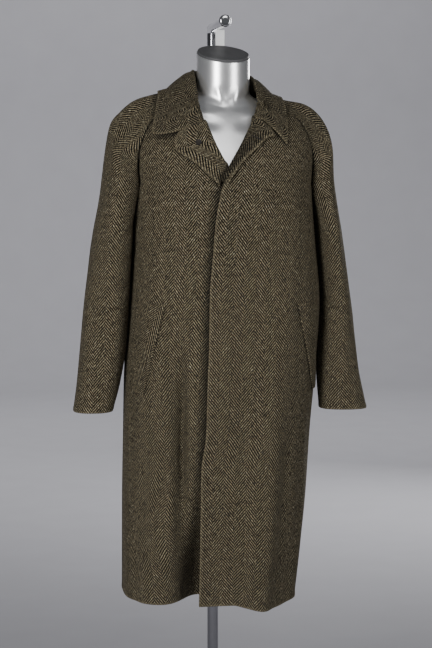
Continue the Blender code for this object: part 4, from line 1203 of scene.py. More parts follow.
@dataclass
class FrontPanel:
    """One front, from its edge to the side seam, and above the underarm to the raglan seam."""

    shape: CoatShape
    side: Side
    rows: int = 118
    shoulder_rows: int = 44
    columns: int = 78
    flank: int = 20
    settle: float = 0.25
    straight: float = 1.30
    line_points: int = 25
    grain_inset: int = 8
    drop_from: float = 0.60
    drop_run: float = 0.16

    def lowered(self, angle: Array, z: Array) -> Array:
        """Heights with the over front's hem let down, most at one angle."""
        drop = HEM_DROP.at("drop", angle) * ease((self.drop_from - z) / self.drop_run)
        return z - drop if self.side is Side.LEFT else z

    def edge_angle(self, z: float, of_z: float) -> float:
        """Angle on a row of the X that the front's edge has at some height."""
        return float(self.shape.front_angle(self.shape.edge_x(self.side, of_z), z))

    def beside_grain(self, edge: float, z: float) -> float:
        """How far the front's edge has left the straight grain line, along the ring.

        Args:
            edge: Angle of the edge.
            z: Height of the row.

        Returns:
            The length, with its sign.
        """
        line = self.edge_angle(z, min(z, self.straight))
        way = np.linspace(line, edge, self.line_points)
        length = lengths_along(self.shape.ring(way, np.full(way.shape, z)))[-1]
        return math.copysign(length, (edge - line) * self.side.value)

    def grid(self) -> ClothSheet:
        """Lay out the front.

        Returns:
            The sheet.
        """
        shape, sign = self.shape, self.side.value
        armpit = shape.seam_angle(Half.FRONT, sign, 0.0)
        angles, heights, starts = [], [], []
        for z in shape.hem + spaced(shape.underarm - shape.hem, self.rows, True, False):
            edge = self.edge_angle(z, z)
            starts.append(self.beside_grain(edge, z))
            seam = shape.drawn_in(sign * 90.0, 0.0, z, shape.seam / 2)
            fore = shape.row_angles(edge, armpit, z, self.columns, True, False)
            aft = shape.row_angles(armpit, seam, z, self.flank, False, True)
            angles.append(np.concatenate((fore, aft[1:])))
            heights.append(z)
        for part in np.linspace(0.0, 1.0, self.shoulder_rows + 1)[1:]:
            z = float(RAGLAN.at("front_z", part))
            edge = self.edge_angle(z, z)
            starts.append(self.beside_grain(edge, z))
            seam = shape.drawn_in(shape.seam_angle(Half.FRONT, sign, part), edge, z, shape.seam / 2)
            share = float(ease(part / self.settle))
            fore = shape.row_angles(edge, seam, z, self.columns, True, False, share)
            angles.append(np.concatenate((fore, np.full(self.flank, seam))))
            heights.append(z)
        angle, z = np.array(angles), np.array(heights)[:, None] + np.zeros_like(angles)
        points = shape.front_face(self.side)(angle, self.lowered(angle, z))
        row, column = np.indices((len(heights) - 1, self.columns + self.flank))
        free = np.zeros(angle.shape, bool)
        free[0, :] = True
        free[:, 0] = True
        weave = panel_weave(points, 0, slice(self.grain_inset, self.columns - self.grain_inset))
        weave[..., 0] += np.array(starts)[:, None]
        return ClothSheet(
            f"coat_front_{self.side.word}", points, (row < self.rows) | (column < self.columns), free,
            weave, flip=sign < 0, lined=True)


@dataclass
class BackPanel:
    """The back, from side seam to side seam, and above the underarm between the raglan seams."""

    shape: CoatShape
    rows: int = 118
    shoulder_rows: int = 52
    columns: int = 96
    flank: int = 20
    settle: float = 0.25
    grain_half: int = 30

    def grid(self) -> ClothSheet:
        """Lay out the back.

        Returns:
            The sheet.
        """
        shape, signs = self.shape, (1, -1)
        armpits = [shape.seam_angle(Half.BACK, sign, 0.0) for sign in signs]
        angles, heights = [], []
        for z in shape.hem + spaced(shape.underarm - shape.hem, self.rows, True, False):
            left, right = (shape.drawn_in(end, 180.0, z, shape.seam / 2) for end in (90.0, 270.0))
            first = shape.row_angles(left, armpits[0], z, self.flank, True, False)
            middle = shape.row_angles(*armpits, z, self.columns, False, False)
            last = shape.row_angles(armpits[1], right, z, self.flank, False, True)
            angles.append(np.concatenate((first, middle[1:], last[1:])))
            heights.append(z)
        for part in np.linspace(0.0, 1.0, self.shoulder_rows + 1)[1:]:
            z = float(RAGLAN.at("back_z", part))
            ends = [shape.seam_angle(Half.BACK, sign, part) for sign in signs]
            left, right = (shape.drawn_in(end, 180.0, z, shape.seam / 2) for end in ends)
            share = float(ease(part / self.settle))
            middle = shape.row_angles(left, right, z, self.columns, False, False, share)
            angles.append(np.concatenate((np.full(self.flank, left), middle, np.full(self.flank, right))))
            heights.append(z)
        angle, z = np.array(angles), np.array(heights)[:, None] + np.zeros_like(angles)
        points = shape.back_face(angle, z)
        row, column = np.indices((len(heights) - 1, self.columns + 2 * self.flank))
        inner = (column >= self.flank) & (column < self.flank + self.columns)
        free = np.zeros(angle.shape, bool)
        free[0, :] = True
        centre = self.flank + self.columns // 2
        weave = panel_weave(points, centre, slice(centre - self.grain_half, centre + self.grain_half))
        return ClothSheet("coat_back", points, (row < self.rows) | inner, free, weave, lined=True)


SLEEVE_CREASES = {
    Side.RIGHT: (
        ((-0.42, 1.255), (0.02, 1.200), 0.010, -0.0034),
        ((-0.45, 1.190), (-0.04, 1.150), 0.009, -0.0030),
        ((-0.40, 1.130), (0.08, 1.082), 0.010, -0.0036),
        ((-0.36, 1.060), (0.04, 1.030), 0.009, -0.0026),
        ((0.22, 1.300), (0.12, 1.040), 0.013, -0.0030),
        ((0.36, 1.160), (0.28, 0.930), 0.014, 0.0030),
        ((0.04, 1.010), (0.10, 0.880), 0.012, -0.0028),
        ((0.30, 1.470), (0.20, 1.330), 0.016, -0.0026),
        ((0.62, 1.240), (0.90, 1.120), 0.014, -0.0034),
        ((0.66, 1.120), (1.05, 1.050), 0.013, -0.0030),
        ((0.80, 1.420), (0.92, 1.290), 0.014, -0.0030),
        ((0.78, 1.010), (0.84, 0.880), 0.012, 0.0026),
    ),
    Side.LEFT: (
        ((-0.42, 1.230), (0.05, 1.165), 0.010, -0.0034),
        ((-0.40, 1.150), (0.02, 1.110), 0.009, -0.0030),
        ((-0.44, 1.090), (0.10, 1.048), 0.010, -0.0034),
        ((-0.36, 0.990), (0.12, 0.950), 0.010, -0.0026),
        ((0.26, 1.290), (0.14, 1.060), 0.014, -0.0030),
        ((0.40, 1.120), (0.30, 0.900), 0.013, 0.0028),
        ((0.12, 0.980), (0.16, 0.870), 0.012, -0.0028),
        ((0.28, 1.470), (0.16, 1.340), 0.015, -0.0028),
        ((0.60, 1.210), (0.95, 1.110), 0.014, -0.0032),
        ((0.70, 1.090), (1.10, 1.030), 0.013, -0.0030),
        ((0.82, 1.430), (0.94, 1.300), 0.014, -0.0028),
        ((0.76, 0.990), (0.82, 0.870), 0.012, 0.0026),
    ),
}


@dataclass
class Sleeve:
    """A raglan sleeve of two panels, seamed along the top and along the inside."""

    shape: CoatShape
    side: Side
    square: float = 2.2
    blend: float = 0.110
    foot: float = 1 / 3
    rows: int = 92
    shoulder_rows: int = 46
    columns: int = 60
    turn_length: float = 0.16
    neck_ease: float = 0.0018
    crown: float = 0.2

    def hanging(self, z: Array, t: Array) -> Array:
        """Points of the hanging sleeve.

        Args:
            z: Heights.
            t: Places round the sleeve: 0 in front, 0.5 outside, 1 behind and 1.5 inside.

        Returns:
            The points.
        """
        table, power = SLEEVES[self.side], 2 / self.square
        outer, inner, front, back = (table.at(name, z) for name in SLEEVE_COLUMNS[1:])
        across = (outer + inner) / 2 + (outer - inner) / 2 * signed_power(np.sin(np.pi * t), power)
        along = (back - front) / 2 - (back + front) / 2 * signed_power(np.cos(np.pi * t), power)
        return point(self.side.value * across, along, z)

    def armhole(self, t: Array) -> Array:
        """Points of the sleeve at the armhole: over the shoulder's foot, then along the body's side.

        Args:
            t: Places round the sleeve.

        Returns:
            The points.
        """
        shape, sign, reach = self.shape, self.side.value, 1.0 + 2 * self.foot
        t = np.mod(t + self.foot, 2.0)
        low = np.full(t.shape, shape.underarm)
        over = shape.shoulder(self.side, np.zeros(t.shape), np.clip(t / reach, 0, 1))
        ends = [shape.seam_angle(half, sign, 0.0) for half in (Half.BACK, Half.FRONT)]
        ends = [end - 360.0 if end > 180.0 else end for end in ends]
        angle = ends[0] + (ends[1] - ends[0]) * np.clip((t - reach) / (2.0 - reach), 0, 1)
        beside = shape.ring(angle, low) + shape.outward(angle, low) * shape.lie
        return np.where((t <= reach)[..., None], over, beside)

    def lower(self, z: Array, t: Array) -> Array:
        """Points below the underarm, where the sleeve rounds off from the armhole's shape.

        Args:
            z: Heights.
            t: Places round the sleeve.

        Returns:
            The points.
        """
        shape, table = self.shape, SLEEVES[self.side]
        share = ease((shape.underarm - z) / self.blend)[..., None]
        middle = (table.at("outer", z) + table.at("inner", z)) / 2
        foot = float(table.at("outer", shape.underarm) + table.at("inner", shape.underarm)) / 2
        carried = self.armhole(t) + point(self.side.value * (middle - foot), 0.0, z - shape.underarm)
        return carried * (1 - share) + self.hanging(z, t) * share

    def panel(self, half: Half) -> ClothSheet:
        """One of the two panels, each half-way round the sleeve.

        Args:
            half: Which one.

        Returns:
            The sheet.
        """
        shape, columns, fore = self.shape, self.columns, half is Half.FRONT
        across = (-0.5 if fore else 0.5) + spaced(self.turn_length, columns) / self.turn_length
        foot = -self.foot if fore else 1.0 + self.foot
        seam_column = int(np.argmin(np.abs(across - foot)))
        across[seam_column] = foot
        bottom = SLEEVES[self.side].rows[0][0]
        heights = bottom + spaced(shape.underarm - bottom, self.rows, True, False)
        z, t = np.meshgrid(heights, across, indexing="ij")
        parts = np.linspace(0.0, 1.0, self.shoulder_rows + 1)[1:]
        over_t = np.clip(across, -self.foot, 1.0 + self.foot)
        arc = (over_t + self.foot) / (1.0 + 2 * self.foot)
        above = shape.shoulder(self.side, *np.meshgrid(parts, arc, indexing="ij"))
        points = np.concatenate((self.lower(z, t), above))
        pull = shape.seam / 2 + self.neck_ease * parts[:, None] ** 2
        seam = above[:, seam_column]
        inward = above[:, seam_column + (1 if fore else -1)]
        points[self.rows + 1:, seam_column] = seam + unit(inward - seam) * pull
        own = slice(seam_column, None) if fore else slice(None, seam_column + 1)
        for column, way in ((0, 1), (columns, -1)):
            side_line = points[:, column].copy()
            points[:, column] = side_line + unit(points[:, column + way] - side_line) * shape.seam / 2
        unused = [c for c in range(columns + 1) if c not in range(*own.indices(columns + 1))]
        points[self.rows + 1:, unused] = points[self.rows + 1:, seam_column:seam_column + 1]
        row, column = np.indices((self.rows + len(parts), columns))
        cells = (row < self.rows) | ((column >= seam_column) if fore else (column < seam_column))
        free = np.zeros(points.shape[:2], bool)
        free[0, :] = True
        high = shape.underarm + parts[:, None] * self.crown
        tops = np.concatenate((z, np.repeat(high, columns + 1, axis=1)))
        rounds = np.concatenate((t, np.repeat(over_t[None, :], len(parts), axis=0)))
        shift = crease_sum(SLEEVE_CREASES[self.side], rounds, tops, self.turn_length)
        weave = panel_weave(points, columns if fore else 0, own)
        return ClothSheet(
            f"coat_sleeve_{self.side.word}_{half.value}", points, cells, free, weave,
            flip=self.side is Side.RIGHT, lined=True, shift=shift)


EDGE_STITCH_DIP = 0.0005


@dataclass
class Lapel:
    """A lapel: rolled round the front's edge, then lying on the front. Pairs are right and left."""

    shape: CoatShape
    side: Side
    rows: int = 60
    columns: int = 32
    length: float = 0.14
    width: float = 0.06
    turns: tuple[float, ...] = (-40.0, -20.0, 0.0, 20.0, 40.0, 58.0, 75.0)
    thick: float = 0.0040
    puff: float = 0.0030
    puff_run: float = 1.15
    swell: Pair = (0.0012, 0.0030)
    hover: Pair = (0.0026, 0.0050)
    rise: Pair = (0.0045, 0.0010)
    rise_run: float = 0.12
    probe: float = 0.1
    gorge: float = 0.55
    # Painted shade on the left lapel's face, growing towards its foot; the rolled edge (rope) stays lit.
    dusk_start: float = 0.18
    dusk_end: float = 0.78
    dusk_run: float = 0.7
    rope: float = 0.0068

    def grid(self) -> ClothSheet:
        """Lay out the lapel.

        Returns:
            The sheet.
        """
        shape, table, left = self.shape, LAPELS[self.side], self.side is Side.LEFT
        face = shape.front_face(self.side)
        part = spaced(self.length, self.rows) / self.length
        roll_x, roll_z, edge_x, edge_z = (table.at(name, part) for name in LAPEL_COLUMNS[1:])
        raised = self.rise[left] * ease(1 - part / self.rise_run)
        roll_z, edge_z = roll_z + raised, edge_z + raised
        roll_at = shape.front_angle(roll_x, roll_z)
        roll, out = face(roll_at, roll_z), shape.normal(face, roll_at, roll_z)
        probe_z = roll_z + (edge_z - roll_z) * self.probe
        probe_at = shape.front_angle(roll_x + (edge_x - roll_x) * self.probe, probe_z)
        away = roll - face(probe_at, probe_z)
        away = unit(away - out * np.sum(away * out, axis=1, keepdims=True))
        turn = np.radians(np.array(self.turns))[None, :, None]
        way = away[:, None] * np.cos(turn) + out[:, None] * np.sin(turn)
        rolled = (roll - out * shape.cloth / 2)[:, None] + way * (shape.cloth / 2 + shape.lie + self.thick)
        q = spaced(self.width, self.columns, False, True)[None, :] / self.width
        z = roll_z[:, None] + (edge_z - roll_z)[:, None] * q
        angle = shape.front_angle(roll_x[:, None] + (edge_x - roll_x)[:, None] * q, z)
        lift = shape.lie + self.thick + self.puff * np.sin(np.pi * np.minimum(q * self.puff_run, 1.0))
        lift = lift + self.hover[left] * q ** 3
        lying = face(angle, z) + shape.normal(face, angle, z) * lift[..., None]
        points = np.concatenate((rolled, lying), axis=1)
        free = np.ones(points.shape[:2], bool)
        free[0, :len(self.turns) + int(self.columns * self.gorge)] = False
        weave = panel_weave(points, points.shape[1] - 1, slice(len(self.turns), None))
        sheet = ClothSheet(
            f"coat_lapel_{self.side.word}", points, np.ones((self.rows, points.shape[1] - 1), bool), free,
            weave, flip=left, thickness=self.thick, fold_swell=self.swell[left],
            stitch_dip=EDGE_STITCH_DIP)
        # Paint shade into the left lapel's face, deeper towards its foot, sparing its rolled edge.
        if left:
            deepening = ease(part / self.dusk_run)[:, None]
            deep = self.dusk_start + (self.dusk_end - self.dusk_start) * deepening
            deep = deep * (1 - np.exp(-((weave[..., 0] / self.rope) ** 4)))
            sheet.seam = np.maximum(sheet.seam, deep.reshape(-1))
        return sheet


@dataclass
class Welt:
    """A slanted pocket welt that lies on a front."""

    shape: CoatShape
    side: Side
    top: Pair = (0.1427, 1.078)
    bottom: Pair = (0.1850, 0.888)
    width: float = 0.042
    length: float = 0.195
    rows: int = 56
    columns: int = 20
    lift: float = 0.0004
    edge_tint: float = 0.3
    grain_turn: float = 12.0

    def grid(self) -> ClothSheet:
        """Lay out the welt.

        Returns:
            The sheet.
        """
        shape, sign = self.shape, self.side.value
        face = shape.front_face(self.side)
        share = spaced(self.length, self.rows) / self.length
        angles = []
        heights = self.bottom[1] + (self.top[1] - self.bottom[1]) * share
        for x, z in zip(sign * (self.bottom[0] + (self.top[0] - self.bottom[0]) * share), heights):
            near = float(shape.front_angle(x, np.array(z)))
            far = shape.drawn_in(near, sign * 180.0, z, self.width)
            angles.append(shape.row_angles(near, far, z, self.columns))
        angle, z = np.array(angles), heights[:, None] + np.zeros((1, self.columns + 1))
        proud = shape.lie + shape.cloth + self.lift * np.linspace(1.0, 0.0, self.columns + 1)[None, :]
        points = face(angle, z) + shape.normal(face, angle, z) * proud[..., None]
        weave = panel_weave(points, 0, slice(None), sign * self.grain_turn)
        sheet = ClothSheet(
            f"coat_pocket_{self.side.word}", points, np.ones((self.rows, self.columns), bool),
            np.ones(points.shape[:2], bool), weave, flip=sign < 0, stitch_dip=EDGE_STITCH_DIP)
        # Less of the tan edge tint, which is wear and painted highlight, on the welt.
        sheet.edge = sheet.edge * self.edge_tint
        return sheet


@dataclass
class Collar:
    """The collar in one sheet: up its stand, over the fold and down its fall."""

    shape: CoatShape
    stations: int = 68
    columns: int = 50
    cloth: float = 0.0038
    clear: float = 0.0022
    turn: float = 0.006
    turn_share: float = 0.4
    turn_drop: float = 0.35
    stand_middle: float = 0.45
    bulge: float = 0.004
    inset: float = 0.0062
    foot_rise: float = 0.0020
    gorge_rise: float = 0.006
    notch_from: float = 0.75
    dip_right: float = 0.0176
    dip_left: float = -0.004
    dip_lean: float = 0.87
    near: float = 0.05
    passes: int = 3
    fold_place: int = 3
    fall_parts: tuple[float, ...] = (0.2, 0.4, 0.6, 0.8, 1.0)
    shoulder_end: float = 0.85
    back_points: int = 5
    shoulder_points: int = 7
    grain_from: int = 20
    swell: float = 0.0008
    # Painted shade over the whole collar, darkening it as if it faced away from the light.
    nap: float = 0.24

    def neck_line(self, side: Side) -> Array:
        """Points evenly along the neck seam.

        Args:
            side: The side.

        Returns:
            The points from the middle of the back to a front end.
        """
        shape = self.shape
        turns = np.linspace(180.0, shape.seam_angle(Half.BACK, side.value, 1.0), self.back_points)
        back = shape.back_face(turns, np.full(self.back_points, shape.back_top))
        over = shape.shoulder(side, np.ones(self.shoulder_points),
                              np.linspace(self.shoulder_end, 0.0, self.shoulder_points))
        ends = np.array([shape.front_top, float(LAPELS[side].at("roll_z", 0.0)) + self.gorge_rise])
        fore = shape.front_face(side)(shape.front_angle(shape.edge_x(side, ends), ends), ends)
        line = np.concatenate((back, over, fore))
        return resampled(line, np.linspace(0.0, lengths_along(line)[-1], self.stations + 1))

    def half(self, side: Side, dip: float) -> tuple[Array, Array]:
        """Middle of the cloth on one side.

        Args:
            side: The side.
            dip: How far the front end sags between its fold and its edge.

        Returns:
            Points by station and column, and which of them belong to the fall.
        """
        part = np.linspace(0.0, 1.0, self.stations + 1)
        x, y, z, edge_x, edge_y, edge_z = (COLLARS[side].at(name, part) for name in COLLAR_COLUMNS[1:])
        fold, edge = point(side.value * x, y, z), point(side.value * edge_x, edge_y, edge_z)
        seam = self.neck_line(side)
        foot = seam - unit(seam * LEVEL) * self.inset + UPRIGHT * self.foot_rise
        rise, fall = fold - foot, edge - fold
        turn = np.minimum(self.turn, np.linalg.norm(rise, axis=1, keepdims=True) * self.turn_share)
        below = -UPRIGHT * turn * self.turn_drop
        arch = unit(UPRIGHT - unit(fall) * unit(fall)[:, 2:])
        sag = dip * ease((part - self.notch_from) / (1 - self.notch_from))[:, None]
        lines = [foot, foot + rise * self.stand_middle, fold - unit(rise) * turn + below, fold,
                 fold + unit(fall) * turn + below]
        for q in self.fall_parts:
            swell, dipped = math.sin(math.pi * q), math.sin(math.pi * q ** self.dip_lean)
            lines.append(fold + fall * q + arch * self.bulge * swell - UPRIGHT * sag * dipped)
        points, falling = [], []
        for line in np.stack(lines, axis=1):
            length = lengths_along(line)
            places = spaced(length[-1], self.columns)
            points.append(resampled(line, places))
            falling.append(places >= length[self.fold_place])
        return np.array(points), np.array(falling)

    def grid(self, panels: BVHTree) -> ClothSheet:
        """Lay out the collar, clear of the panels below its fall.

        Args:
            panels: The panels' outer faces.

        Returns:
            The sheet.
        """
        right, right_falls = self.half(Side.RIGHT, self.dip_right)
        left, left_falls = self.half(Side.LEFT, self.dip_left)
        points = np.concatenate((right[::-1], left[1:]))
        falls = np.concatenate((right_falls[::-1], left_falls[1:]))
        moved, gap = points, self.cloth / 2 + self.clear
        for _ in range(self.passes):
            moved = pushed(panels, moved, falls, gap, self.near)
            shift = np.pad(moved - points, ((1, 1), (1, 1), (0, 0)), mode="edge")
            blurred = (shift[:-2, 1:-1] + shift[2:, 1:-1] + shift[1:-1, :-2] + shift[1:-1, 2:]) / 4
            moved = points + np.where(falls[..., None], (blurred + shift[1:-1, 1:-1]) / 2, 0.0)
        moved = pushed(panels, moved, falls, gap, self.near)
        free = np.ones(moved.shape[:2], bool)
        free[:, 0] = False
        weave = panel_weave(moved, 0, slice(self.grain_from, None))
        return ClothSheet(
            "coat_collar", moved, np.ones((len(moved) - 1, self.columns), bool), free, weave,
            thickness=self.cloth, shift=np.full(moved.shape[:2], self.cloth / 2), fold_swell=self.swell,
            stitch_dip=EDGE_STITCH_DIP, nap=self.nap)


def pushed(tree: BVHTree, points: Array, which: Array, distance: float, near: float,
           tries: int = 3) -> Array:
    """Points moved, where they must, to stand a distance outside a surface.

    Args:
        tree: The surface.
        points: The points.
        which: Which of them may move.
        distance: The distance to keep.
        near: How far a point may be from the surface to be moved.
        tries: How often a point is moved at most.

    Returns:
        The points.
    """
    moved = points.copy()
    for place in zip(*np.nonzero(which)):
        spot = Vector(moved[place])
        for _ in range(tries):
            found, normal, _face, gap = tree.find_nearest(spot)
            height = (spot - found).dot(normal)
            if height < distance and gap < near:
                spot = spot + normal * (distance - height)
        moved[place] = spot
    return moved


def rounded(corners: Sequence[Triple], steps: int = 5) -> list[Pair]:
    """A turned profile with its corners rounded.

    Args:
        corners: Radius, height and rounding of each corner.
        steps: Steps of each rounding.

    Returns:
        Radii and heights.
    """
    spots = [Vector(corner[:2]) for corner in corners]
    line: list[Pair] = []
    for i, (spot, corner) in enumerate(zip(spots, corners)):
        if corner[2] == 0.0:
            line.append(tuple(spot))
            continue
        before = spot + (spots[i - 1] - spot).normalized() * corner[2]
        after = spot + (spots[(i + 1) % len(spots)] - spot).normalized() * corner[2]
        for t in np.linspace(0.0, 1.0, steps + 1):
            line.append(tuple(before * (1 - t) ** 2 + spot * (2 * t * (1 - t)) + after * t ** 2))
    return line


def ring_faces(rings: int, sides: int, poles: bool) -> list[list[int]]:
    """Faces of a round piece whose points are rings in a row, followed by two poles if it has them.

    Args:
        rings: Number of rings.
        sides: Points in each ring.
        poles: Whether the ends close at the poles, or else the last ring joins the first.

    Returns:
        The faces.
    """
    here, after = np.arange(sides), np.roll(np.arange(sides), -1)
    faces = []
    for ring in range(rings - poles):
        row, above = ring * sides, (ring + 1) % rings * sides
        faces += np.stack((row + here, row + after, above + after, above + here), axis=1).tolist()
    if poles:
        low, top = np.full(sides, rings * sides), (rings - 1) * sides
        faces += np.stack((low, after, here), axis=1).tolist()
        faces += np.stack((low + 1, top + here, top + after), axis=1).tolist()
    return faces


def smoothed(name: str, mesh: bpy.types.Mesh, sharp: float, material: Material) -> Object:
    """Put a smooth mesh into the scene.

    Args:
        name: Name of the object.
        mesh: The mesh.
        sharp: Degrees from which an edge stays sharp.
        material: Its material.

    Returns:
        The object.
    """
    mesh.shade_smooth()
    mesh.set_sharp_from_angle(angle=math.radians(sharp))
    mesh.materials.append(material)
    return link(name, mesh)


@dataclass
class Turned:
    """A turned piece about Z, from the corners of its profile, put in its place."""

    name: str
    corners: Corners
    place: Matrix
    sides: int
    sharp: float = 40.0

    def build(self, material: Material) -> Object:
        """Make the piece: a profile from axis to axis closes at its poles, any other one is a ring.

        Args:
            material: Its material.

        Returns:
            The object.
        """
        profile = rounded(self.corners)
        solid = profile[0][0] == 0.0
        rings = profile[1:-1] if solid else profile
        turn = np.linspace(0.0, 2 * np.pi, self.sides, endpoint=False)
        points = np.concatenate([point(r * np.cos(turn), r * np.sin(turn), h) for r, h in rings])
        if solid:
            points = np.concatenate((points, [(0.0, 0.0, profile[0][1]), (0.0, 0.0, profile[-1][1])]))
        mesh = bpy.data.meshes.new(self.name)
        mesh.from_pydata(points.tolist(), [], ring_faces(len(rings), self.sides, solid))
        mesh.transform(self.place)
        return smoothed(self.name, mesh, self.sharp, material)


@dataclass
class TorsoForm:
    """The smooth limbless form, leaning below its neck and cut on a slope at its top."""

    lean: float = math.radians(2.8)
    neck_foot: float = 1.555
    neck_top: float = 1.615
    neck: float = 0.0578
    neck_join: float = 16.0
    neck_cut: float = math.tan(math.radians(20.0))
    neck_roll: float = math.tan(math.radians(2.7))
    rest: float = 0.0022
    slant: float = 0.25
    core: float = 0.02
    front_share: float = 3.0
    rows: int = 150
    crowding: float = 0.45
    sides: int = 128
    sharp: float = 50.0
    table: Table = Table(("z", "side", "front", "back", "square"), (
        (0.885, 0.158, 0.098, 0.098, 2.5),
        (0.960, 0.164, 0.108, 0.106, 2.4),
        (1.060, 0.152, 0.105, 0.094, 2.3),
        (1.140, 0.147, 0.108, 0.092, 2.3),
        (1.240, 0.158, 0.120, 0.104, 2.3),
        (1.330, 0.168, 0.124, 0.116, 2.3),
        (1.400, 0.176, 0.108, 0.114, 2.3),
        (1.440, 0.176, 0.093, 0.103, 2.2),
        (1.470, 0.166, 0.079, 0.094, 2.1),
        (1.490, 0.148, 0.068, 0.085, 2.0),
        (1.505, 0.122, 0.058, 0.078, 2.0),
        (1.518, 0.092, 0.047, 0.072, 2.0),
        (1.530, 0.062, 0.037, 0.066, 2.0),
        (1.556, 0.040, 0.0300, 0.056, 2.0),
        (1.620, 0.030, 0.0300, 0.040, 2.0),
    ))
    marks: tuple[Crease, ...] = (
        ((-0.070, 1.508), (0.010, 1.496), 0.0055, -0.0026),
        ((0.080, 1.508), (0.004, 1.496), 0.0055, -0.0026),
        ((-0.002, 1.500), (-0.022, 1.548), 0.0080, 0.0024),
        ((0.014, 1.500), (0.032, 1.548), 0.0080, 0.0024),
        ((-0.014, 1.482), (-0.090, 1.490), 0.0120, 0.0036),
        ((0.028, 1.482), (0.095, 1.490), 0.0120, 0.0036),
        ((-0.080, 1.470), (0.002, 1.458), 0.0140, -0.0024),
        ((0.088, 1.470), (0.010, 1.458), 0.0140, -0.0024),
    )

    def surface(self, z: Array, turn: Array) -> Array:
        """Points of the form.

        Args:
            z: Heights before the form leans.
            turn: Turns round it, from the front.

        Returns:
            The points.
        """
        square = self.table.at("square", z)
        across, along = np.sin(turn), np.cos(turn)
        depth = np.where(along > 0, self.table.at("front", z), self.table.at("back", z))
        oval = np.abs(across / self.table.at("side", z)) ** square + np.abs(along / depth) ** square
        radius = oval ** (-1 / square)
        radius = (radius ** self.neck_join + self.neck ** self.neck_join) ** (1 / self.neck_join)
        x, y = radius * across, -radius * along
        cut = ease((z - self.neck_foot) / (self.neck_top - self.neck_foot))
        swell = crease_sum(self.marks, x, z, 1.0) * ease(along * self.front_share) * (1 - cut)
        grown = 1.0 + swell / np.maximum(np.hypot(x, y), self.core)
        x, y = x * grown, y * grown
        hang = np.minimum(z - self.neck_foot, 0.0) * math.sin(self.lean)
        tilt = math.tan(self.lean) * (1 - cut) + self.neck_roll * cut
        return point(x + hang, y, z + cut * self.neck_cut * y - tilt * x)

    def kept_inside(self, panels: BVHTree, points: Array, gap: float) -> Array:
        """Points drawn towards the form's axis where the cloth on them is closer than a gap.

        Args:
            panels: The panels' outer faces.
            points: The form's points.
            gap: The gap to the panels' outer faces.

        Returns:
            The points.
        """
        kept = points.copy()
        for place in np.ndindex(points.shape[:2]):
            axis = Vector((0.0, 0.0, points[place][2]))
            way = Vector(points[place]) - axis
            hit, normal, _face, far = panels.ray_cast(axis, way.normalized())
            if hit is not None:
                room = far - gap / max(abs(normal.dot(way.normalized())), self.slant)
                kept[place] = axis + way.normalized() * min(way.length, room)
        return kept

    def build(self, panels: BVHTree, cloth: float, material: Material) -> Object:
        """Make the form, clear of the cloth on it.

        Args:
            panels: The panels' outer faces.
            cloth: Thickness of the panels.
            material: Its material.

        Returns:
            The object.
        """
        low = self.table.rows[0][0]
        share = np.linspace(0.0, 1.0, self.rows + 1)
        share = share * (1 + self.crowding - self.crowding * share)
        turn = np.linspace(0.0, 2 * np.pi, self.sides, endpoint=False)
        z, turns = np.meshgrid(low + (self.neck_top - low) * share, turn, indexing="ij")
        points = self.kept_inside(panels, self.surface(z, turns), cloth + self.rest)
        ends = np.stack((points[0].mean(axis=0), points[-1].mean(axis=0)))
        mesh = bpy.data.meshes.new("torso_form")
        mesh.from_pydata(np.concatenate((points.reshape(-1, 3), ends)).tolist(), [],
                         ring_faces(self.rows + 1, self.sides, True))
        return smoothed("torso_form", mesh, self.sharp, material)


@dataclass
class Bar:
    """A flat bar with softened edges, between its lowest and highest corner."""

    name: str
    low: Triple
    high: Triple
    soft: float
    segments: int = 3
    sharp: float = 50.0

    def build(self, material: Material) -> Object:
        """Make the bar.

        Args:
            material: Its material.

        Returns:
            The object.
        """
        low, high = np.array(self.low), np.array(self.high)
        shape = bmesh.new()
        bmesh.ops.create_cube(shape, size=1.0)
        place = Matrix.Translation((high + low) / 2) @ Matrix.Diagonal((*(high - low), 1.0))
        bmesh.ops.transform(shape, matrix=place, verts=shape.verts)
        bmesh.ops.bevel(shape, geom=shape.edges[:], offset=self.soft, segments=self.segments, profile=0.5,
                        affect="EDGES")
        mesh = bpy.data.meshes.new(self.name)
        shape.to_mesh(mesh)
        shape.free()
        return smoothed(self.name, mesh, self.sharp, material)


def applied(piece: Object) -> bpy.types.Mesh:
    """Make a piece's modifiers its own shape.

    Args:
        piece: The piece.

    Returns:
        Its new mesh.
    """
    ready = piece.evaluated_get(bpy.context.evaluated_depsgraph_get())
    mesh = bpy.data.meshes.new_from_object(ready)
    piece.modifiers.clear()
    piece.data = mesh
    return mesh


def opened(piece: Object, cutter: Object) -> None:
    """Cut one piece out of another, for good, and drop the cutter.

    Args:
        piece: The piece that is cut.
        cutter: The piece whose room it leaves.
    """
    cut = piece.modifiers.new("slot", "BOOLEAN")
    cut.operation, cut.solver, cut.object = "DIFFERENCE", "EXACT", cutter
    applied(piece)
    bpy.data.objects.remove(cutter)


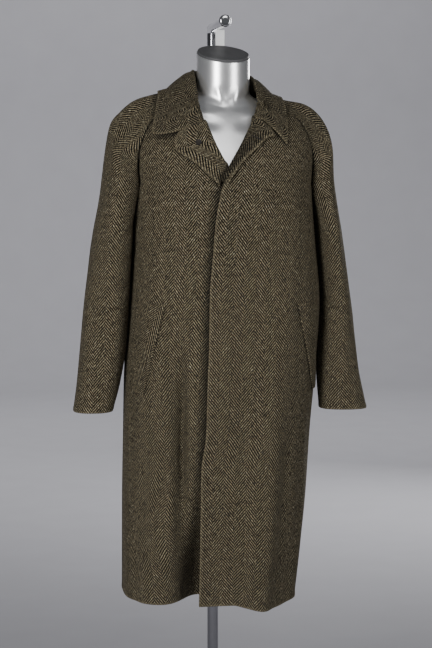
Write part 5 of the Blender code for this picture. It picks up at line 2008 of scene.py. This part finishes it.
@dataclass
class Sewing:
    """Stitches in runs, laid by geometry nodes along lines on the cloth."""

    name: str
    pitch: float = 0.0034
    length: float = 0.0026
    radius: float = 0.00032
    seed: int = 11
    least: Triple = (0.82, 0.85, 0.85)
    most: Triple = (1.06, 1.12, 1.12)
    segments: int = 6
    rings: int = 4

    def tree(self) -> bpy.types.NodeTree:
        """The node group: lines to evenly placed stitches, each a little longer or shorter.

        Returns:
            The group.
        """
        group = bpy.data.node_groups.new(f"{self.name}_stitches", "GeometryNodeTree")
        given = {"Lines": "Geometry", "Pitch": "Float", "Length": "Float", "Radius": "Float",
                 "Seed": "Int", "Thread": "Material"}
        for word, kind in given.items():
            group.interface.new_socket(word, in_out="INPUT", socket_type=f"NodeSocket{kind}")
        group.interface.new_socket("Stitches", in_out="OUTPUT", socket_type="NodeSocketGeometry")
        g = Nodes(group)
        lines, pitch, length, radius, seed, thread = (
            g.make("NodeGroupInput", None, None, word) for word in given)
        line = g.make("GeometryNodeMeshToCurve", None, {"Mesh": lines})
        even = g.make("GeometryNodeResampleCurve", {"mode": "LENGTH"}, {"Curve": line, "Length": pitch})
        bead = g.make("GeometryNodeMeshUVSphere", None, {"Segments": self.segments, "Rings": self.rings})
        size = g.vector(length * 0.5, radius, radius)
        stitch = g.make("GeometryNodeTransform", None, {"Geometry": bead, "Scale": size})
        along = g.make("GeometryNodeInputTangent")
        way = g.make("FunctionNodeAlignRotationToVector", {"axis": "X"}, {"Vector": along})
        sizes = {"Min": self.least, "Max": self.most, "Seed": seed}
        uneven = g.make("FunctionNodeRandomValue", {"data_type": "FLOAT_VECTOR"}, sizes)
        spots = {"Points": even, "Instance": stitch, "Rotation": way, "Scale": uneven}
        laid = g.make("GeometryNodeInstanceOnPoints", None, spots)
        real = g.make("GeometryNodeRealizeInstances", None, {"Geometry": laid})
        sewn = g.make("GeometryNodeSetMaterial", None, {"Geometry": real, "Material": thread})
        g.fill(group.nodes.new("NodeGroupOutput"), {"Stitches": sewn})
        return group

    def build(self, runs: Sequence[Array], thread: Material) -> Object:
        """Sew along lines.

        Args:
            runs: Lines of points on the cloth.
            thread: Material of the thread.

        Returns:
            The stitches as one plain mesh.
        """
        ends = np.concatenate(([0], np.cumsum([len(run) for run in runs])))
        edges = [(i, i + 1) for a, b in zip(ends, ends[1:]) for i in range(a, b - 1)]
        lines = bpy.data.meshes.new(self.name)
        lines.from_pydata(np.concatenate(runs).tolist(), edges, [])
        sewn = link(self.name, lines)
        laid = sewn.modifiers.new("stitches", "NODES")
        laid.node_group = self.tree()
        values = {"Pitch": self.pitch, "Length": self.length, "Radius": self.radius, "Seed": self.seed,
                  "Thread": thread}
        for item in laid.node_group.interface.items_tree:
            if item.in_out == "INPUT" and item.name in values:
                laid[item.identifier] = values[item.name]
        applied(sewn).shade_smooth()
        return sewn


@dataclass(frozen=True)
class Cut:
    """A cut panel laid flat, without its seam allowance: size, area, how it is held and on what."""

    width: float
    length: float
    area: float
    held: Held = Held.HUNG
    rests_on: tuple[str, ...] = ("torso_form",)

    def declare(self, piece: Object) -> None:
        """Take a piece and do nothing with it."""


CUTS = {
    "front_right": Cut(0.370, 1.105, 0.320),
    "front_left": Cut(0.370, 1.105, 0.350, Held.HUNG, ("torso_form", "coat_front_right")),
    "back": Cut(0.555, 1.120, 0.560),
    "sleeve_right_front": Cut(0.225, 0.785, 0.131),
    "sleeve_right_back": Cut(0.216, 0.800, 0.133),
    "sleeve_left_front": Cut(0.202, 0.772, 0.118),
    "sleeve_left_back": Cut(0.202, 0.788, 0.121),
    "lapel_right": Cut(0.097, 0.145, 0.0102, Held.FOLDED, ("coat_front_right",)),
    "lapel_left": Cut(0.068, 0.175, 0.0077, Held.FOLDED, ("coat_front_left",)),
    "pocket_right": Cut(0.044, 0.196, 0.0085, Held.LAID, ("coat_front_right",)),
    "pocket_left": Cut(0.044, 0.196, 0.0083, Held.LAID, ("coat_front_left",)),
    "collar": Cut(0.185, 0.647, 0.0731, Held.FOLDED, ("coat_back", "coat_front_right", "coat_front_left")),
}


@dataclass
class Coat:
    """The coat's sheets, laid out from the body outwards, with painted shade where they overlap."""

    shape: CoatShape
    # Reaches of the painted shade beside edges that lie over other cloth.
    fly_shade: float = 0.0135
    roll_shade: float = 0.0080
    lapel_shade: float = 0.0070
    welt_shade: float = 0.0040
    collar_shade: float = 0.0040
    collar_deep_shade: float = 0.0095
    fronts: dict[Side, ClothSheet] = field(init=False)
    panels: list[ClothSheet] = field(init=False)
    tree: BVHTree = field(init=False)
    lapels: dict[Side, ClothSheet] = field(init=False)
    welts: dict[Side, ClothSheet] = field(init=False)
    collar: ClothSheet = field(init=False)

    def __post_init__(self) -> None:
        """Lay out every sheet."""
        shape = self.shape
        self.fronts = {side: FrontPanel(shape, side).grid() for side in Side}
        self.panels = [*self.fronts.values(), BackPanel(shape).grid()]
        for side in Side:
            self.panels += [Sleeve(shape, side).panel(half) for half in Half]
        self.tree = search_tree(*self.panels)
        self.lapels = {side: Lapel(shape, side).grid() for side in Side}
        self.welts = {side: Welt(shape, side).grid() for side in Side}
        self.collar = Collar(shape).grid(self.tree)

    def shade(self) -> None:
        """Paint shade into the sheets beside the edges that lie over them."""
        left, right = self.lapels[Side.LEFT], self.lapels[Side.RIGHT]
        self.fronts[Side.RIGHT].shaded_by(search_tree(self.fronts[Side.LEFT], left), self.fly_shade)
        right.shaded_by(search_tree(left), self.roll_shade)
        over_right, over_collar = search_tree(right), search_tree(self.collar)
        over_welts = search_tree(*self.welts.values())
        for sheet in self.panels:
            sheet.shaded_by(over_right, self.lapel_shade)
            sheet.shaded_by(over_welts, self.welt_shade)
            reach = self.collar_shade if "left" in sheet.name else self.collar_deep_shade
            sheet.shaded_by(over_collar, reach)
        for sheet in self.lapels.values():
            sheet.shaded_by(over_collar, self.collar_shade)

    def build(self, tweed: Material, lining: Material) -> None:
        """Make the sheets and hand each to its cut, whose declare does nothing.

        Args:
            tweed: Material of the outside.
            lining: Material of the inside.
        """
        for sheet in (*self.panels, *self.lapels.values(), *self.welts.values(), self.collar):
            node = sheet.name.removeprefix("coat_")
            CUTS[node].declare(placed(sheet.build(tweed, lining), "tweed", node))


def met_from_front(tree: BVHTree, x: float, z: float) -> tuple[Vector, Vector]:
    """Place and normal where a level line from the front meets a surface."""
    hit, normal, _face, _far = tree.ray_cast(Vector((x, -1.0, z)), Vector((0.0, 1.0, 0.0)))
    return hit, normal


def standing(at: Vector, way: Vector) -> Matrix:
    """The place of a turned piece that stands at a spot and points along a direction."""
    return Matrix.Translation(at) @ way.to_track_quat("Z", "Y").to_matrix().to_4x4()


@dataclass
class Trim:
    """The stitches that show along the edges, and the worked buttonhole."""

    inset: int = 4
    fly_from: int = 2
    fly_to: int = 130
    lapel_from: int = 3
    fall_from: int = 22
    proud: float = 0.0002
    hole_start: Pair = (0.0440, 1.4370)
    hole_end: Pair = (0.0620, 1.4275)
    hole_half: float = 0.0009
    hole_points: int = 30
    hole_proud: float = 0.0003

    def run_along(self, sheet: ClothSheet, rows: Any, columns: Any) -> Array:
        """A line of grid points on a sheet, a little proud of it."""
        normals = sheet.normals.reshape(sheet.points.shape)
        return sheet.points[rows, columns] + normals[rows, columns] * self.proud

    def hole(self, tree: BVHTree) -> list[Array]:
        """Two close lines for the buttonhole.

        Args:
            tree: The sheet that carries it.

        Returns:
            The lines' points.
        """
        start, way = np.array(self.hole_start), np.array(self.hole_end) - np.array(self.hole_start)
        aside = np.array([-way[1], way[0]]) / np.linalg.norm(way)
        runs = []
        for gap in (-self.hole_half, self.hole_half):
            line = []
            for t in np.linspace(0.0, 1.0, self.hole_points):
                hit, normal = met_from_front(tree, *(start + way * t + aside * gap))
                line.append(hit + normal * self.hole_proud)
            runs.append(np.array(line))
        return runs

    def build(self, coat: Coat, thread: Material) -> None:
        """Sew the edges that show stitches.

        Args:
            coat: The coat.
            thread: Material of the thread.
        """
        inset, collar = self.inset, coat.collar
        last, inner = -1 - inset, slice(inset, -inset)
        runs = [self.run_along(coat.fronts[Side.LEFT], slice(self.fly_from, self.fly_to), inset)]
        for sheet in coat.lapels.values():
            runs.append(self.run_along(sheet, slice(self.lapel_from, -1), last))
        for sheet in coat.welts.values():
            runs.append(self.run_along(sheet, inner, inset))
            runs += [self.run_along(sheet, row, slice(inset, None)) for row in (inset, last)]
        runs.append(self.run_along(collar, inner, last))
        runs += [self.run_along(collar, row, slice(self.fall_from, -inset)) for row in (inset, last)]
        placed(Sewing("edge_stitching").build(runs, thread), "tweed")
        hole = self.hole(search_tree(coat.lapels[Side.LEFT]))
        worked = Sewing("buttonhole_stitching", pitch=0.0011, length=0.0022, radius=0.0006, seed=5)
        placed(worked.build(hole, GIMP.build()), "tweed")


@dataclass
class Button:
    """The lapel's button, dished and sewn through. Its profile is in parts of radius and height."""

    radius: float = 0.0066
    height: float = 0.0030
    lie: float = 0.0006
    at: Pair = (-0.0715, 1.4215)
    sides: int = 48
    profile: Corners = (
        (0.0, 0.0, 0.0), (0.80, 0.0, 0.0004), (1.0, 0.35, 0.0006), (1.0, 0.72, 0.0006),
        (0.86, 1.0, 0.0005), (0.66, 0.78, 0.0006), (0.0, 0.70, 0.0),
    )
    thread_half: Pair = (0.0011, 0.0008)
    thread_points: int = 5
    thread_part: float = 0.74

    def build(self, lapel: ClothSheet, thread: Material) -> None:
        """Make the button and its thread.

        Args:
            lapel: The lapel that carries it.
            thread: Material of the thread.
        """
        seat, normal = met_from_front(search_tree(lapel), *self.at)
        place = standing(seat + normal * self.lie, normal)
        corners = tuple((r * self.radius, h * self.height, soft) for r, h, soft in self.profile)
        piece = Turned("coat_button", corners, place, self.sides).build(HORN.build())
        placed(piece, "horn", "lapel_button")
        reach, apart = self.thread_half
        runs = []
        for aside in (-apart, apart):
            spots = np.linspace(-reach, reach, self.thread_points)
            line = [place @ Vector((x, aside, self.thread_part * self.height)) for x in spots]
            runs.append(np.array(line))
        sewing = Sewing("button_thread", pitch=0.0011, length=0.0014, radius=0.00022, seed=3)
        placed(sewing.build(runs, thread), "tweed")


@dataclass
class Stand:
    """The form with its cap and bar, and the stand that carries it."""

    bar: tuple[Triple, Triple, float] = ((-0.007, 0.0665, 1.490), (0.013, 0.0705, 1.6748), 0.0008)
    slot: tuple[Triple, Triple, float] = ((-0.0072, 0.0663, 1.4898), (0.0132, 0.0707, 1.70), 0.0001)
    cap_gap: float = 0.0002
    cap: Corners = (
        (0.0, 0.0, 0.0), (0.0565, 0.0, 0.0004), (0.0565, 0.0050, 0.0014), (0.0470, 0.0050, 0.0010),
        (0.0462, 0.0044, 0.0006), (0.0, 0.0044, 0.0),
    )
    base: Corners = (
        (0.0, 0.0, 0.0), (0.210, 0.0, 0.0010), (0.210, 0.008, 0.0030), (0.0, 0.008, 0.0))
    pole_at: Triple = (0.0, 0.166, 0.0082)
    pole: Corners = (
        (0.0, 0.0, 0.0), (0.0125, 0.0, 0.0004), (0.0125, 1.6666, 0.0006), (0.0, 1.6666, 0.0))
    socket: Corners = (
        (0.0127, 0.0, 0.0), (0.020, 0.0, 0.0006), (0.020, 0.045, 0.0028), (0.0127, 0.045, 0.0006))
    arm_at: Triple = (0.0, 0.184, 1.686)
    arm: Corners = (
        (0.0, 0.0, 0.0), (0.011, 0.0, 0.0012), (0.011, 0.200, 0.0006), (0.0, 0.200, 0.0))
    knob_at: Triple = (0.0, -0.0162, 1.686)
    knob: Corners = (
        (0.0, 0.0, 0.0), (0.0120, 0.0, 0.0010), (0.0135, 0.0050, 0.0020), (0.0135, 0.0170, 0.0024),
        (0.0110, 0.0212, 0.0016), (0.0060, 0.0220, 0.0020), (0.0, 0.0220, 0.0),
    )

    def build(self, coat: Coat) -> None:
        """Make the form, then everything that it hangs from.

        Args:
            coat: The coat on the form.
        """
        torso, enamel, chrome, steel = TorsoForm(), ENAMEL.build(), CHROME.build(), STEEL.build()
        form = torso.build(coat.tree, coat.shape.cloth, SILVER.build())
        opened(form, Bar("slot", *self.slot).build(enamel))
        placed(form, "silver_form", "form")
        placed(Bar("hanger_bar_white", *self.bar).build(enamel), "white_bar", "hanger_bar")
        up = Vector((torso.neck_roll, -torso.neck_cut, 1.0)).normalized()
        on_neck = standing(Vector((0.0, 0.0, torso.neck_top)) + up * self.cap_gap, up)
        on_base = Matrix.Translation(self.pole_at)
        forward = Matrix.Rotation(math.radians(90.0), 4, "X")
        arm_at, knob_at = (Matrix.Translation(at) @ forward for at in (self.arm_at, self.knob_at))
        turned = (
            (Turned("neck_cap_dark", self.cap, on_neck, 96), CAP.build(), "dark_cap", "neck_cap"),
            (Turned("stand_base", self.base, Matrix.Identity(4), 128), steel, "steel", "base_plate"),
            # The pole takes the darker chrome copy: painted shade for its dark reflections.
            (Turned("stand_pole", self.pole, on_base, 48), SHADED_CHROME.build(), "chrome", "pole"),
            (Turned("stand_socket", self.socket, on_base, 64), steel, "steel", "pole_socket"),
            (Turned("stand_arm", self.arm, arm_at, 48), chrome, "chrome", "arm"),
            (Turned("stand_knob", self.knob, knob_at, 48), chrome, "chrome", "arm_knob"),
        )
        for piece, material, slot, node in turned:
            placed(piece.build(material), slot, node)


def aimed(name: str, data: bpy.types.ID, at: Sequence[float], towards: Sequence[float]) -> Object:
    """Put a light or a camera into the scene and point it.

    Args:
        name: Its name.
        data: The light or camera.
        at: Its place.
        towards: Where it points.

    Returns:
        The object.
    """
    made = link(name, data)
    made.location = at
    made.rotation_euler = (Vector(towards) - Vector(at)).to_track_quat("-Z", "Y").to_euler()
    return made


@dataclass
class Studio:
    """A pale floor that rises to a wall far behind, soft lights and the camera."""

    half_width: float = 9.0
    front: float = -9.0
    wall: float = 9.6
    bend: float = 2.0
    bend_points: int = 25
    height: float = 6.0
    paper: tuple[Triple, Triple] = ((0.315, 0.312, 0.336), (0.345, 0.342, 0.368))
    paper_rough: float = 0.92
    sky: tuple[float, ...] = (0.92, 0.95, 1.0, 1.0)
    sky_strength: float = 0.09
    lights: tuple[tuple[Any, ...], ...] = (   # name, place, where it points, size and watts
        ("key", (-1.8, -2.50, 1.65), (0.0, 0.0, 1.25), (0.8, 1.2), 65.0),
        ("fill", (2.0, -2.35, 1.55), (0.0, 0.0, 1.2), (1.1, 1.1), 31.0),
        ("overhead", (0.3, -2.9, 3.5), (0.0, 0.0, 1.45), (1.2, 1.8), 18.0),
        ("wall_wash", (0.5, 4.1, 5.0), (0.5, 9.0, 1.3), (6.0, 1.4), 440.0),
        ("behind", (2.0, 3.6, 2.0), (0.0, 0.0, 1.1), (1.6, 1.6), 85.0),
    )
    azimuth: float = math.radians(-8.0)
    distance: float = 4.0
    eye: float = 1.34
    aim: Triple = (-0.0155, 0.0, 1.026)
    sensor: float = 36.0
    lens: float = 101.0

    def backdrop(self) -> Object:
        """The floor and wall in one sheet.

        Returns:
            The object.
        """
        bend = [(self.wall - self.bend + self.bend * math.sin(t), self.bend - self.bend * math.cos(t))
                for t in np.linspace(0.0, math.pi / 2, self.bend_points)]
        line = [(self.front, 0.0), *bend, (self.wall, self.height)]
        points = [(x, y, z) for y, z in line for x in (-self.half_width, self.half_width)]
        faces = [(2 * i, 2 * i + 1, 2 * i + 3, 2 * i + 2) for i in range(len(line) - 1)]
        mesh = bpy.data.meshes.new("studio_floor")
        mesh.from_pydata(points, [], faces)
        mesh.shade_smooth()
        g = Graph("studio_paper")
        grain = g.noise(g.objects(), 6.0, 4.0)
        mesh.materials.append(g.finish(Base_Color=g.mix(grain, *self.paper), Roughness=self.paper_rough))
        return link("studio_floor", mesh)

    def build(self) -> None:
        """Put up the backdrop, the lights and the camera."""
        self.backdrop()
        world = bpy.data.worlds.new("studio")
        world.use_nodes = True
        background = world.node_tree.nodes["Background"]
        background.inputs["Color"].default_value = self.sky
        background.inputs["Strength"].default_value = self.sky_strength
        bpy.context.scene.world = world
        for name, at, towards, size, power in self.lights:
            lamp = bpy.data.lights.new(name, "AREA")
            lamp.shape = "RECTANGLE"
            lamp.size, lamp.size_y = size
            lamp.energy = power
            aimed(name, lamp, at, towards)
        camera = bpy.data.cameras.new("view")
        camera.sensor_fit = "VERTICAL"
        camera.sensor_height = self.sensor
        camera.lens = self.lens
        eye = (self.aim[0] + math.sin(self.azimuth) * self.distance,
               self.aim[1] - math.cos(self.azimuth) * self.distance, self.eye)
        bpy.context.scene.camera = aimed("view", camera, eye, self.aim)


def main() -> None:
    """Build every piece of the coat, the form and the stand, then the studio."""
    logging.basicConfig(level=logging.INFO, format="%(name)s: %(message)s")
    coat, thread = Coat(CoatShape()), THREAD.build()
    coat.shade()
    coat.build(TweedFinish().build(), LiningFinish().build())
    Trim().build(coat, thread)
    Button().build(coat.lapels[Side.RIGHT], thread)
    Stand().build(coat)
    Studio().build()


if __name__ == "__main__":
    main()
